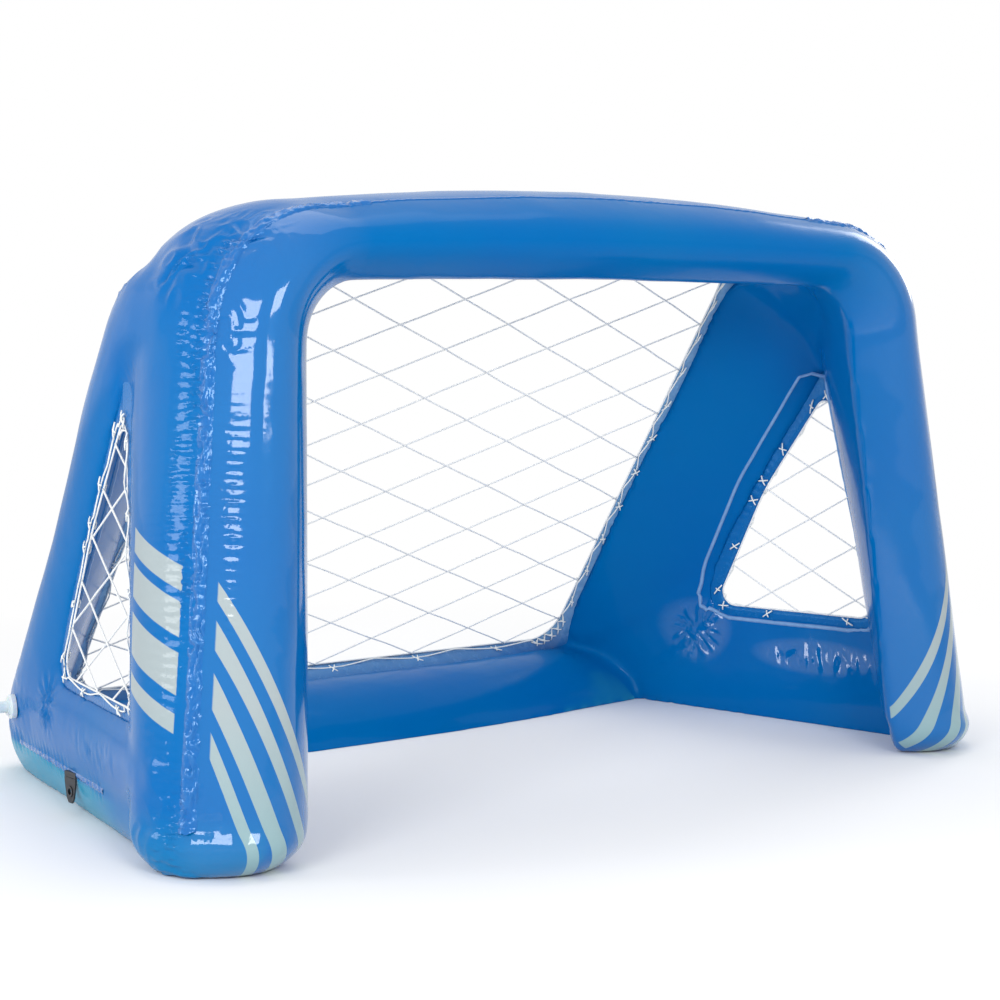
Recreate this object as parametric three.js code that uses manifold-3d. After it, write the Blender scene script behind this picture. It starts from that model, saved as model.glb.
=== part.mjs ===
// Inflatable water polo goal: a closed loop of film tubes with three laced nets.
// Millimetres, +X right, +Y back, +Z up. The mouth faces -Y, and the feet's fronts start at y 0.
// From the side: a front arch that leans back, a short roof, a sloping rear and a floor frame.
// Every tube has three welded seams, k1 on its outer corner and k2 and k3 beside the two
// windows, with a bulged strip of film between each two seams.

import * as THREE from 'three';
import { mergeVertices } from 'three/addons/utils/BufferGeometryUtils.js';
import Module from 'manifold-3d';

const wasm = await Module();
wasm.setup();

// Overall driving dimensions
const halfWidth = 700;        // outer face of a foot from the middle
const archHeight = 795;       // top of the arch beside its corners
const roofCrown = 22;         // the crossbar's middle rises this much more
const depth = 800;            // front of the feet to the back of the rear tube
const sideLeanShare = 0.121;  // the side faces lean in by this share of the height
const archLean = 58;          // the arch's top stands back from its feet by this much
const gap = 0.3;              // clearance between touching pieces

// Front arch: posts, top corners and crossbar
const arch = {
  frontBulge: 58, outerBulge: 22, roofBulge: 18, innerBulge: 12, barBulge: 24,
  footWidth: 190, headWidth: 151,       // outer face to the mouth's seam
  footDepth: 190, headDepth: 252,
  barHeight: 108, rearDrop: 12,         // crossbar's front, and its rear seam below the front one
  outerRadius: 158, mouthRadius: 74, rearRadius: 132,
  toeRise: 46, soleWidthShare: 0.76, soleDepthShare: 0.56, toeShare: 0.9,
  crownInset: 260,                      // the crown ends this far in from the outer faces
};

// Side frame: roof side, diagonal and floor tube in one bent length, measured in the side view
const side = {
  roofDrop: 97, headBehind: 32 / 23,    // the slope's line passes this far behind the crossbar
  slopeOver: 6, seamZ: 54, seamFrontZ: 58,
  roofRadius: 140, heelRadius: 42, buried: 70,
  inset: 15, rearBulge: 15, outerBulge: 18, innerBulge: 8,
  slopeDepth: 90, roofHeight: 118,      // from the outer seam in to the window's seam
  heelDepth: 251, windowZ: 165, windowBow: 18,
  apexRadius: 40, windowRadius: 34,
  innerZ: -2, innerHeelRadius: 50,
  headRear: 144, footRear: 94, soleWidth: 52,
  narrowing: 126,                       // the rear's outer faces stand in by this much
  narrowFrontLow: 96, narrowFrontHigh: 302, narrowHighZ: 520,
};

// Rear floor tube
const rear = {
  seamZ: 40, windowAhead: 8, windowZ: 84, soleDepth: 142, frontZ: -2,
  outerBulge: 6, soleBulge: 10, innerBulge: 26, cornerInset: 160, bow: 40, frontBow: 48,
};

// Where the frame is divided into its lengths of tube
const cut = {
  barInset: 300, barDrop: 195, headDrop: 295, footRise: 25,
  postBehind: 30.5283, footShare: 12 / 55, heelAhead: 29, rearInset: 260,
  hemEnd: 60,                           // length of upright hem at each end of the rear window
};

// Weld strips, hems, nets and lacing
const weld = {
  width: 30, thickness: 1.1, depthIn: 5, low: 60, startAhead: 28, footRise: 15, floorRise: 4,
};
const hem = {
  width: 15, buried: 14, thickness: 1, cornerRadius: 12, headRadius: 84, footRadius: 62,
  tuck: 16,                             // how far the rear hem's foot leans into the floor tube
  bendBack: 15.5, bendDrop: 0.5, bendRadius: 400, // the slope's bend, off the middle of the slope
  apexBack: 20, apexDrop: 24, apexRadius: 24, sideRadius: 30,
};
const net = {
  cord: 2.4, border: 3, smallestShare: 0.03,
  rear: { crossAt: -126, riseAt: 527, width: 190, height: 71 },   // a crossing across and up, and a diamond
  side: { crossAt: 257, riseAt: 491, width: 153, height: 83 },    // the same back and up
};
const lacing = { cord: 2.2, pitch: 66, lift: 0.8, reach: 8 };

// Inflation valves, one low on each rear corner
const valve = {
  ahead: 100, z: 104, turnShare: 0.18, flangeRadius: 17, flangeHeight: 3, flangeDepth: 16,
  collarRadius: 12, collarHeight: 6, stemRadius: 8, boreRadius: 5.2, stemLength: 20, stemSeat: 12,
  floor: 2, pocket: 34, plugRadius: 9.4, plugHeight: 3, shankLength: 9, segments: 24, chamferShare: 0.15,
  pullWidth: 7, pullHeight: 5, pullThickness: 2,
};

// Mooring tabs that hang below the outer floor seams
const mooring = {
  ahead: 350, width: 30, tipWidth: 20, length: 33, thickness: 2, eyeDrop: 18, eyeRadius: 4.4,
  rimRadius: 7.4, rimHeight: 4, standOff: 3.6, lugHeight: 7, lugDepth: 14, pin: 0.6, segments: 20,
};

const mix = (a, b, t) => a + (b - a) * t;

// Places that follow from the sizes
const roofZ = archHeight - side.roofDrop;
const windowTop = archHeight - arch.roofBulge - arch.rearDrop;
const slopeHeadY = archLean + arch.headDepth + side.headBehind;
const slopeFootY = depth + side.slopeOver;
const slopeTopY = mix(slopeHeadY, slopeFootY, (windowTop - roofZ) / (windowTop - side.seamZ));
const windowTopY = slopeTopY - side.slopeDepth;
const windowTopZ = roofZ - side.roofHeight;
const windowFootY = depth - side.heelDepth;
const buriedY = arch.footDepth - side.buried;
const rearY = depth - rear.outerBulge;
const rearHalf = halfWidth - rear.cornerInset;
const barX = halfWidth - cut.barInset;
const barZ = archHeight - cut.barDrop;
const headZ = archHeight - cut.headDrop;
const footZ = side.windowZ + cut.footRise;
const postY = mix(arch.footDepth, archLean + arch.headDepth, headZ / archHeight) + cut.postBehind;
const heelY = windowFootY - cut.heelAhead;
const footY = mix(arch.footDepth, heelY, cut.footShare);
const rearX = halfWidth - cut.rearInset;
const valveY = depth - valve.ahead;
const mooringY = depth - mooring.ahead;

const clamp01 = (t) => Math.min(1, Math.max(0, t));
const V = (x, y, z) => new THREE.Vector3(x, y, z);

// Closed solids

function solid(geometry) {
  const g = geometry.clone();
  g.deleteAttribute('normal');
  g.deleteAttribute('uv');
  const m = mergeVertices(g, 1e-4);
  return new wasm.Manifold(new wasm.Mesh({
    numProp: 3,
    vertProperties: new Float32Array(m.attributes.position.array),
    triVerts: new Uint32Array(m.index.array),
  }));
}

function geometryOf(manifold) {
  const mesh = manifold.getMesh();
  const g = new THREE.BufferGeometry();
  g.setAttribute('position', new THREE.BufferAttribute(new Float32Array(mesh.vertProperties), 3));
  g.setIndex(new THREE.BufferAttribute(new Uint32Array(mesh.triVerts), 1));
  return g;
}

const join = (manifolds) => manifolds.reduce((a, b) => a.add(b));

// Turns every face over where the solid's volume comes out negative
function facingOut(g) {
  const p = g.attributes.position;
  const at = (i) => V(0, 0, 0).fromBufferAttribute(p, i);
  const idx = g.index ? Array.from(g.index.array) : [...Array(p.count).keys()];
  let volume = 0;
  for (let i = 0; i < idx.length; i += 3) {
    volume += at(idx[i]).dot(at(idx[i + 1]).cross(at(idx[i + 2])));
  }
  if (volume < 0) idx.reverse();
  g.setIndex(idx);
  return g;
}

// A solid through rings of equally many points, with a fan at each end or closed into a loop
function loft(rings, looped = false) {
  const n = rings[0].length;
  const points = rings.flat();
  const faces = [];
  const bands = looped ? rings.length : rings.length - 1;
  for (let i = 0; i < bands; i++) {
    const a = i * n;
    const b = ((i + 1) % rings.length) * n;
    for (let j = 0; j < n; j++) {
      const k = (j + 1) % n;
      // each quad is halved along its shorter diagonal, so that a thin twisted band stays apart
      if (points[a + j].distanceTo(points[b + k]) <= points[b + j].distanceTo(points[a + k])) {
        faces.push(a + j, b + j, b + k, a + j, b + k, a + k);
      } else {
        faces.push(a + j, b + j, a + k, b + j, b + k, a + k);
      }
    }
  }
  if (!looped) {
    [0, rings.length - 1].forEach((i) => {
      const c = points.push(middle(rings[i])) - 1;
      for (let j = 0; j < n; j++) {
        const k = (j + 1) % n;
        if (i === 0) faces.push(c, i * n + j, i * n + k);
        else faces.push(c, i * n + k, i * n + j);
      }
    });
  }
  const g = new THREE.BufferGeometry();
  const numbers = new Float32Array(points.flatMap((p) => [p.x, p.y, p.z]));
  g.setAttribute('position', new THREE.BufferAttribute(numbers, 3));
  g.setIndex(faces);
  return solid(facingOut(g));
}

function middle(points) {
  return points.reduce((s, p) => s.add(p), V(0, 0, 0)).divideScalar(points.length);
}

// A box between two corners
function box(low, high) {
  const size = high.clone().sub(low);
  const g = new THREE.BoxGeometry(size.x, size.y, size.z);
  g.translate((low.x + high.x) / 2, (low.y + high.y) / 2, (low.z + high.z) / 2);
  return solid(g);
}

// Mirrored in the plane x 0
const mirrored = (manifold) => manifold.mirror([1, 0, 0]);

// Ring of a tube: its seams in turn, with a bulged strip between each two
const stripSteps = 5;

function tubeRing(seams, bulges, grow) {
  const centre = middle(seams);
  const ring = [];
  seams.forEach((a, i) => {
    const b = seams[(i + 1) % seams.length];
    const edge = b.clone().sub(a);
    const out = a.clone().add(b).multiplyScalar(1 / 2).sub(centre);
    out.addScaledVector(edge, -out.dot(edge) / edge.lengthSq()).normalize();
    for (let k = 0; k < stripSteps; k++) {
      const t = k / stripSteps;
      ring.push(a.clone().addScaledVector(edge, t).addScaledVector(out, bulges[i] * 4 * t * (1 - t)));
    }
  });
  ring.forEach((p) => p.addScaledVector(p.clone().sub(centre).normalize(), grow));
  return ring;
}

// Points along a bent line in the (a, b) plane: straight parts with a rounded corner between
function bentLine(corners, radii, straightSteps, cornerSteps) {
  const points = [];
  const starts = [corners[0]];
  corners.slice(1, -1).forEach((p, i) => {
    const to = corners[i].clone().sub(p).normalize();
    const from = corners[i + 2].clone().sub(p).normalize();
    const half = Math.acos(to.dot(from)) / 2;
    const reach = radii[i] / Math.tan(half);
    const centre = p.clone().addScaledVector(to.clone().add(from).normalize(), radii[i] / Math.sin(half));
    const first = p.clone().addScaledVector(to, reach);
    const last = p.clone().addScaledVector(from, reach);
    const a0 = Math.atan2(first.y - centre.y, first.x - centre.x);
    let turn = Math.atan2(last.y - centre.y, last.x - centre.x) - a0;
    if (turn > Math.PI) turn -= 2 * Math.PI;
    if (turn < -Math.PI) turn += 2 * Math.PI;
    addStraight(points, starts[i], first, straightSteps[i]);
    for (let k = 0; k < cornerSteps[i]; k++) {
      const angle = a0 + turn * (k / cornerSteps[i]);
      points.push(new THREE.Vector2(
        centre.x + radii[i] * Math.cos(angle), centre.y + radii[i] * Math.sin(angle)));
    }
    starts.push(last);
  });
  addStraight(points, starts[starts.length - 1], corners[corners.length - 1], straightSteps.at(-1));
  points.push(corners[corners.length - 1].clone());
  return points;
}

function addStraight(points, a, b, steps) {
  for (let k = 0; k < steps; k++) points.push(a.clone().lerp(b, k / steps));
}

// Front arch

const sideX = (z) => halfWidth - sideLeanShare * z;

// One seam from the middle of a sole to the middle of the crossbar: inset from the side face,
// distance back, and height of the crossbar's part
function archSeam(footInset, headInset, footY, headY, barZ, radius, rise) {
  const line = bentLine(
    [new THREE.Vector2(halfWidth - footInset, 0),
      new THREE.Vector2(sideX(barZ) - headInset, barZ),
      new THREE.Vector2(0, barZ)],
    [radius], [8, 7], [7]);
  const spring = barZ - radius;
  return line.map((p) => {
    const t = clamp01(p.y / spring);
    const crown = rise * (1 - Math.min(1, (p.x / (halfWidth - arch.crownInset)) ** 2));
    return V(p.x, mix(footY, headY, t), p.y + crown);
  });
}

function archRings(grow) {
  const front = arch.frontBulge;
  const k1 = archSeam(arch.outerBulge, arch.outerBulge, front, archLean + front,
    archHeight - arch.roofBulge, arch.outerRadius, roofCrown);
  const k2 = archSeam(arch.footWidth, arch.headWidth, front, archLean + front,
    archHeight - arch.barHeight, arch.mouthRadius, roofCrown / 4);
  const k3 = archSeam(arch.outerBulge, arch.outerBulge, arch.footDepth, archLean + arch.headDepth,
    archHeight - arch.roofBulge - arch.rearDrop, arch.rearRadius, roofCrown);
  const rings = k1.map((p, i) => {
    const t = clamp01((p.z - archHeight + arch.outerRadius) / arch.outerRadius);
    return tubeRing([p, k2[i], k3[i]],
      [front, mix(arch.innerBulge, arch.barBulge, t), mix(arch.outerBulge, arch.roofBulge, t)], grow);
  });
  // the foot draws in below its toe, down to a flat sole
  const toe = rings[0];
  const centre = middle(toe);
  const drawn = (wide, deep, z) => toe.map((p) => V(mix(centre.x, p.x, wide), mix(centre.y, p.y, deep), z));
  const foot = [drawn(arch.soleWidthShare, arch.soleDepthShare, -grow),
    drawn(arch.toeShare, arch.toeShare, arch.toeRise / 3), drawn(1, 1, arch.toeRise)];
  const right = [...foot, ...rings.slice(1)];
  const left = right.slice(0, -1).reverse().map((ring) => ring.map((p) => V(-p.x, p.y, p.z)));
  return [...right, ...left];
}

// Side frame

// The side face's inset towards the rear, from a line that starts further back higher up
function narrowing(y, z) {
  const start = mix(side.narrowFrontLow, side.narrowFrontHigh, clamp01(z / side.narrowHighZ));
  return side.narrowing * clamp01((y - start) / (depth - start));
}

const frameX = (y, z) => sideX(z) - narrowing(y, z);

// Distance back of the rear slope at a height
const slopeY = (z) => mix(slopeTopY, slopeFootY, (roofZ - z) / (roofZ - side.seamZ));

function sideSeams() {
  const P = (y, z) => new THREE.Vector2(y, z);
  const straight = [3, 8, 8];
  const corner = [4, 5];
  const outer = bentLine(
    [P(arch.footDepth, roofZ), P(slopeTopY, roofZ),
      P(slopeFootY, side.seamZ), P(buriedY, side.seamFrontZ)],
    [side.roofRadius, side.heelRadius], straight, corner);
  const window = bentLine(
    [P(arch.footDepth, windowTopZ), P(windowTopY, windowTopZ),
      P(windowFootY, side.windowZ), P(buriedY, side.windowZ)],
    [side.apexRadius, side.windowRadius], straight, corner);
  const inner = bentLine(
    [P(arch.footDepth, roofZ), P(slopeTopY, roofZ),
      P(slopeY(side.innerZ), side.innerZ), P(buriedY, side.innerZ)],
    [side.roofRadius, side.innerHeelRadius], straight, corner);
  const heel = straight[0] + corner[0] + straight[1];
  return outer.map((p, i) => {
    const q = window[i];
    const r = inner[i];
    const slopeT = clamp01((roofZ - q.y) / (roofZ - side.windowZ));
    const bow = i < heel ? side.windowBow * 4 * slopeT * (1 - slopeT) : 0;
    const t = clamp01((roofZ - r.y) / (roofZ - side.innerZ));
    const forward = clamp01((i - heel) / corner[1]);
    const reach = mix(mix(side.headRear, side.footRear, t), side.soleWidth, forward);
    return [
      V(frameX(p.x, p.y) - side.inset, p.x, p.y),
      V(frameX(q.x + bow, q.y) - side.inset, q.x + bow, q.y),
      V(frameX(r.x, r.y) - reach, r.x, r.y),
    ];
  });
}

const sideRings = (grow) => sideSeams().map((s) =>
  tubeRing(s, [side.outerBulge, side.innerBulge, side.rearBulge], grow));

// Rear floor tube

function rearSeams() {
  const steps = 10;
  const seams = [];
  for (let i = 0; i <= steps; i++) {
    const t = -1 + (2 * i) / steps;
    const bow = rear.bow * (1 - t * t);
    const x = rearHalf * t;
    seams.push([
      V(x, rearY - bow, rear.seamZ),
      V(x, rearY - rear.windowAhead - bow, rear.windowZ),
      V(x, rearY - rear.soleDepth - rear.frontBow * (1 - t * t), rear.frontZ),
    ]);
  }
  return seams;
}

const rearRings = (grow) => rearSeams().map((s) =>
  tubeRing(s, [rear.outerBulge, rear.innerBulge, rear.soleBulge], grow));

// The whole inflated frame, standing on z 0
const reach = 2 * depth;

function frame(grow) {
  const right = loft(sideRings(grow));
  const all = join([loft(archRings(grow)), right, mirrored(right), loft(rearRings(grow))]);
  return all.intersect(box(V(-reach, -reach, -grow), V(reach, reach, reach)));
}

const body = frame(0);
const skin = frame(gap);

const pieces = {};

function cutOut(low, high, from = body) {
  const half = gap / 2;
  return from.intersect(box(low.clone().addScalar(half), high.clone().subScalar(half)));
}

const bothSides = (name, manifold) => {
  pieces[`${name}_r`] = manifold;
  pieces[`${name}_l`] = mirrored(manifold);
};

pieces.crossbar = cutOut(V(-barX, -reach, barZ), V(barX, reach, reach));
bothSides('top_corner', cutOut(V(barX, -reach, headZ), V(reach, postY, reach)));
bothSides('shoulder', cutOut(V(barX, postY, headZ), V(reach, reach, reach)));
bothSides('post', cutOut(V(0, -reach, footZ), V(reach, postY, headZ)));
bothSides('diagonal', cutOut(V(0, postY, footZ), V(reach, reach, headZ)));
bothSides('foot', cutOut(V(rearX, -reach, -reach), V(reach, footY, footZ)));
bothSides('floor_tube', cutOut(V(rearX, footY, -reach), V(reach, heelY, footZ)));
bothSides('rear_corner', cutOut(V(rearX, heelY, -reach), V(reach, reach, footZ)));
pieces.rear_tube = cutOut(V(-rearX, 0, -reach), V(rearX, reach, footZ));

// Weld strips: thin bands over the outer seams, a hair above the film
function weldBand(rings, corner) {
  const n = rings[0].length;
  const strip = rings.map((ring) => {
    const centre = middle(ring);
    const at = (i) => ring[(corner + i + n) % n];
    const away = (p, d) => p.clone().addScaledVector(p.clone().sub(centre).normalize(), d);
    const edge = (i) => {
      const step = at(i).clone().sub(at(0));
      return at(0).clone().addScaledVector(step, Math.min(1, weld.width / 2 / step.length()));
    };
    const line = [edge(-1), at(0), edge(1)];
    const outer = line.map((p) => away(p, weld.thickness));
    const inner = line.reverse().map((p) => away(p, -weld.depthIn));
    return [...outer, ...inner];
  });
  return loft(strip).subtract(skin);
}

const archSkin = archRings(gap);
const sideSkin = sideRings(gap);
const ringHeight = (ring) => ring[0].z;
const postBand = archSkin.filter((ring) =>
  ring[0].x > barX + weld.width && ringHeight(ring) > weld.low);
bothSides('front_seam', weldBand(postBand, 0));
pieces.bar_seam = weldBand(archSkin.filter((ring) => Math.abs(ring[0].x) < barX), 0);
const clearOfArch = (ring) => ring[0].y > slopeTopY - weld.startAhead;
const rising = sideSkin.filter((ring) =>
  clearOfArch(ring) && ringHeight(ring) > side.windowZ + weld.footRise);
const lying = sideSkin.filter((ring) =>
  clearOfArch(ring) && ringHeight(ring) < side.seamFrontZ + weld.floorRise);
bothSides('slope_seam', weldBand(rising, 0));
bothSides('floor_seam', weldBand(lying.filter((ring) => ring[0].y < valveY - 2 * valve.flangeRadius), 0));

// Windows: closed outlines with rounded corners, each mapped onto its own curved surface
function roundedOutline(corners, radii, straightSteps, cornerSteps) {
  const n = corners.length;
  const start = corners[0].clone().lerp(corners[n - 1], 1 / 2);
  const line = bentLine([start, ...corners, start], radii,
    Array(n + 1).fill(straightSteps), Array(n).fill(cornerSteps));
  line.pop();
  return line;
}

// The outline moved towards its inside
function inset(outline, d) {
  const n = outline.length;
  const turn = Math.sign(outline.reduce((sum, p, i) => sum + p.cross(outline[(i + 1) % n]), 0));
  return outline.map((p, i) => {
    const along = outline[(i + 1) % n].clone().sub(outline[(i + n - 1) % n]).normalize();
    return new THREE.Vector2(p.x - along.y * d * turn, p.y + along.x * d * turn);
  });
}

// Rear window, across and up
const innerX = (z) => {
  const t = (roofZ - z) / (roofZ - side.innerZ);
  return frameX(slopeY(z), z) - mix(side.headRear, side.footRear, clamp01(t));
};
const rearCorners = [
  new THREE.Vector2(innerX(windowTop), windowTop),
  new THREE.Vector2(-innerX(windowTop), windowTop),
  new THREE.Vector2(-innerX(rear.windowZ), rear.windowZ),
  new THREE.Vector2(innerX(rear.windowZ), rear.windowZ),
];
const sharp = rearCorners.map(() => hem.cornerRadius);
const rearWindow = {
  limit: roundedOutline(rearCorners, sharp, 4, 5),
  outline: roundedOutline(rearCorners,
    [hem.headRadius, hem.headRadius, hem.footRadius, hem.footRadius], 4, 5),
  place: (p, out) => {
    const rise = slopeY(0) - slopeY(1);
    const lift = out / Math.hypot(1, rise);
    return V(p.x, slopeY(p.y) + lift, p.y + lift * rise);
  },
  root: (p, out) => {
    const low = clamp01((windowTop - p.y) / (windowTop - rear.windowZ));
    const bow = rear.bow * low * (1 - Math.min(1, (p.x / rearHalf) ** 2));
    const tuck = hem.tuck * clamp01(1 + (rear.windowZ - p.y) / cut.hemEnd);
    return rearWindow.place(p, out).sub(V(0, bow + tuck, 0));
  },
};

// Right side window, back and up
const postBackY = mix(arch.footDepth, archLean + arch.headDepth, side.windowZ / archHeight);
const sideCorners = [
  new THREE.Vector2(postBackY, side.windowZ),
  new THREE.Vector2(windowFootY - side.windowBow, side.windowZ),
  new THREE.Vector2(mix(windowTopY, windowFootY, 1 / 2) + hem.bendBack,
    mix(windowTopZ, side.windowZ, 1 / 2) - hem.bendDrop),
  new THREE.Vector2(windowTopY + hem.apexBack, windowTopZ - hem.apexDrop),
];
const onSide = (p) => V(frameX(p.x, p.y) - side.inset, p.x, p.y);
const sidePlane = new THREE.Plane().setFromCoplanarPoints(
  onSide(sideCorners[0]), onSide(sideCorners[1]), onSide(sideCorners[3]));
if (sidePlane.normal.x < 0) sidePlane.negate();
const sideWindow = {
  limit: roundedOutline(sideCorners,
    [hem.cornerRadius, hem.cornerRadius, hem.bendRadius, hem.cornerRadius], 2, 4),
  outline: roundedOutline(sideCorners,
    [hem.sideRadius, hem.sideRadius, hem.bendRadius, hem.apexRadius], 2, 4),
  place: (p, out) => {
    const { normal, constant } = sidePlane;
    const x = -(normal.y * p.x + normal.z * p.y + constant) / normal.x;
    return V(x, p.x, p.y).addScaledVector(normal, out);
  },
  root: (p, out) => onSide(p).addScaledVector(sidePlane.normal, out),
};

// Unit vector square to the hem at a place of its inner edge, given the direction to its root
function offHem(window, edge, at, outwards) {
  const before = window.place(alongLoop(edge, at - 1), 0);
  return window.place(alongLoop(edge, at + 1), 0).sub(before).cross(outwards).normalize();
}

// A ribbon of film round a window, from inside the tubes to the hem's inner edge
function hemOf(window, grow = 0) {
  const outer = inset(window.limit, -hem.buried);
  const inner = inset(window.outline, hem.width);
  const half = hem.thickness / 2 + grow;
  const rings = outer.map((p, i) => {
    const foot = window.root(p, 0);
    const edge = window.place(inner[i], 0);
    const up = offHem(window, inner, i, foot.clone().sub(edge)).multiplyScalar(half);
    return [foot.clone().sub(up), edge.clone().sub(up), edge.add(up), foot.add(up)];
  });
  return loft(rings, true).subtract(skin);
}

// A closed square cord through points, with its faces square to a normal
function cordLoop(points, normal, size) {
  const n = points.length;
  const half = size / 2;
  return loft(points.map((p, i) => {
    const across = points[(i + 1) % n].clone().sub(points[(i + n - 1) % n]).cross(normal).normalize();
    return [[1, 1], [-1, 1], [-1, -1], [1, -1]].map(([u, v]) =>
      p.clone().addScaledVector(across, half * u).addScaledVector(normal, half * v));
  }), true);
}

// A flat solid in a window's own coordinates, and its place on the window's plane
const prism = (outline, low, high) =>
  loft([outline.map((p) => V(p.x, p.y, low)), outline.map((p) => V(p.x, p.y, high))]);

function placed(window, manifold) {
  const origin = window.place(new THREE.Vector2(0, 0), 0);
  const axes = [[1, 0, 0], [0, 1, 0], [0, 0, 1]].map(([a, b, out]) =>
    window.place(new THREE.Vector2(a, b), out).sub(origin));
  return manifold.transform(new THREE.Matrix4().makeBasis(...axes).setPosition(origin).toArray());
}

// A flat diamond net with a border cord, inside a window's hem
function netOf(window, mesh) {
  const rim = hem.width + hem.thickness / 2 + gap;
  const outer = inset(window.outline, rim);
  const inner = inset(window.outline, rim + net.border);
  const half = net.cord / 2;
  const field = prism(inner, -net.cord, net.cord);
  const reachA = mesh.width / 2;
  const reachB = mesh.height / 2;
  const inRadius = (reachA * reachB) / Math.hypot(reachA, reachB);
  const share = 1 - half / inRadius;
  const extent = new THREE.Box2().setFromPoints(inner);
  const first = extent.min.clone().sub(new THREE.Vector2(mesh.crossAt, mesh.riseAt));
  const last = extent.max.clone().sub(new THREE.Vector2(mesh.crossAt, mesh.riseAt));
  let plate = prism(outer, -half, half);
  for (let i = Math.floor(first.x / reachA); i <= Math.ceil(last.x / reachA); i++) {
    for (let j = Math.floor(first.y / reachB); j <= Math.ceil(last.y / reachB); j++) {
      if ((i + j) % 2 === 0) continue;
      const corners = [[1, 0], [0, 1], [-1, 0], [0, -1]].map(([u, v]) => new THREE.Vector2(
        mesh.crossAt + reachA * (i + u * share), mesh.riseAt + reachB * (j + v * share)));
      const diamond = prism(corners, -net.cord, net.cord);
      const hole = diamond.intersect(field);
      if (hole.volume() > net.smallestShare * diamond.volume()) plate = plate.subtract(hole);
    }
  }
  return placed(window, plate);
}

// Lacing that zigzags between the hem's front and the net's border
function lacingOf(window, sense) {
  const hemFoot = inset(window.limit, -hem.buried);
  const hemEdge = inset(window.outline, hem.width);
  const border = inset(window.outline, hem.width + net.border);
  const origin = window.place(hemEdge[0], 0);
  const normal = window.place(hemEdge[0], sense).sub(origin).normalize();
  const overHem = (hem.thickness + lacing.cord) / 2 + lacing.lift;
  const overBorder = (net.cord + lacing.cord) / 2 + lacing.lift;
  const length = border.reduce((sum, p, i) => sum + p.distanceTo(border[(i + 1) % border.length]), 0);
  const waves = Math.round(length / lacing.pitch);
  const outwardsAt = (at) =>
    window.root(alongLoop(hemFoot, at), 0).sub(window.place(alongLoop(hemEdge, at), 0)).normalize();
  const face = Math.sign(offHem(window, hemEdge, 0, outwardsAt(0)).dot(normal));
  const points = Array.from({ length: 2 * waves }, (_, i) => {
    const at = (i * border.length) / (2 * waves);
    if (i % 2) return window.place(alongLoop(border, at), 0).addScaledVector(normal, overBorder);
    const outwards = outwardsAt(at);
    const up = offHem(window, hemEdge, at, outwards).multiplyScalar(face * overHem);
    return window.place(alongLoop(hemEdge, at), 0).addScaledVector(outwards, lacing.reach).add(up);
  });
  const cut = cordLoop(points, normal, lacing.cord).subtract(hemOf(window, gap)).subtract(skin);
  return cut.decompose().reduce((a, b) => (a.volume() > b.volume() ? a : b));
}

// The place on a closed outline, counted in its points
function alongLoop(loop, at) {
  const n = loop.length;
  const i = Math.floor(at);
  return loop[(i + n) % n].clone().lerp(loop[(i + 1 + n) % n], at - i);
}

const rearHem = hemOf(rearWindow);
const hemFoot = rear.windowZ + cut.hemEnd;
const hemHead = windowTop - cut.hemEnd;
pieces.rear_hem_foot = cutOut(V(-reach, -reach, 0), V(reach, reach, hemFoot), rearHem);
pieces.rear_hem_head = cutOut(V(-reach, -reach, hemHead), V(reach, reach, reach), rearHem);
bothSides('rear_hem', cutOut(V(0, -reach, hemFoot), V(reach, reach, hemHead), rearHem));
pieces.rear_net = netOf(rearWindow, net.rear);
pieces.rear_lacing = lacingOf(rearWindow, -1);
bothSides('side_hem', hemOf(sideWindow));
bothSides('side_net', netOf(sideWindow, net.side));
bothSides('side_lacing', lacingOf(sideWindow, 1));

// Inflation valves: a welded flange with a collar, a stem that pushes in, and its plug

const valveAxis = V(1, valve.turnShare, 0).normalize();
const valveSeat = V(frameX(valveY, valve.z) + side.outerBulge - side.inset, valveY, valve.z);

// A turned solid on the valve's axis: points are radius and distance outwards from the film
function turned(points, inner = 0) {
  const outline = points.map(([r, h]) => new THREE.Vector2(r, h));
  const first = outline[0];
  const last = outline[outline.length - 1];
  const profile = inner
    ? [...outline, first.clone()]
    : [new THREE.Vector2(0, first.y), ...outline, new THREE.Vector2(0, last.y)];
  const g = new THREE.LatheGeometry(profile, valve.segments);
  g.applyQuaternion(new THREE.Quaternion().setFromUnitVectors(V(0, 1, 0), valveAxis));
  g.translate(valveSeat.x, valveSeat.y, valveSeat.z);
  return solid(facingOut(g));
}

const bore = valve.stemRadius + gap;
const plugBase = valve.stemLength + gap;
const stemFoot = -valve.stemSeat;
const well = valve.boreRadius;
pieces.rear_corner_r = pieces.rear_corner_r.subtract(turned([[bore, -valve.pocket], [bore, valve.pocket]]));
pieces.rear_corner_l = mirrored(pieces.rear_corner_r);
bothSides('valve_flange', turned([
  [bore, -valve.flangeDepth], [valve.flangeRadius, -valve.flangeDepth],
  [valve.flangeRadius, valve.flangeHeight / 2],
  [mix(valve.flangeRadius, bore, valve.chamferShare), valve.flangeHeight],
  [valve.collarRadius, valve.flangeHeight], [valve.collarRadius, valve.collarHeight],
  [bore, valve.collarHeight]], bore).subtract(skin));
bothSides('valve_stem', turned([
  [valve.stemRadius, stemFoot], [valve.stemRadius, valve.stemLength],
  [well, valve.stemLength], [well, stemFoot + valve.floor]]));
const pullTab = box(V(-valve.pullThickness / 2, -valve.pullWidth / 2, -gap),
  V(valve.pullThickness / 2, valve.pullWidth / 2, valve.pullHeight));
const plugTop = plugBase + valve.plugHeight;
const shank = well - gap;
const plug = turned([
  [shank, plugBase - valve.shankLength], [shank, plugBase], [valve.plugRadius, plugBase],
  [valve.plugRadius, plugTop - valve.floor / 2], [valve.plugRadius - valve.floor / 2, plugTop]]);
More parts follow.
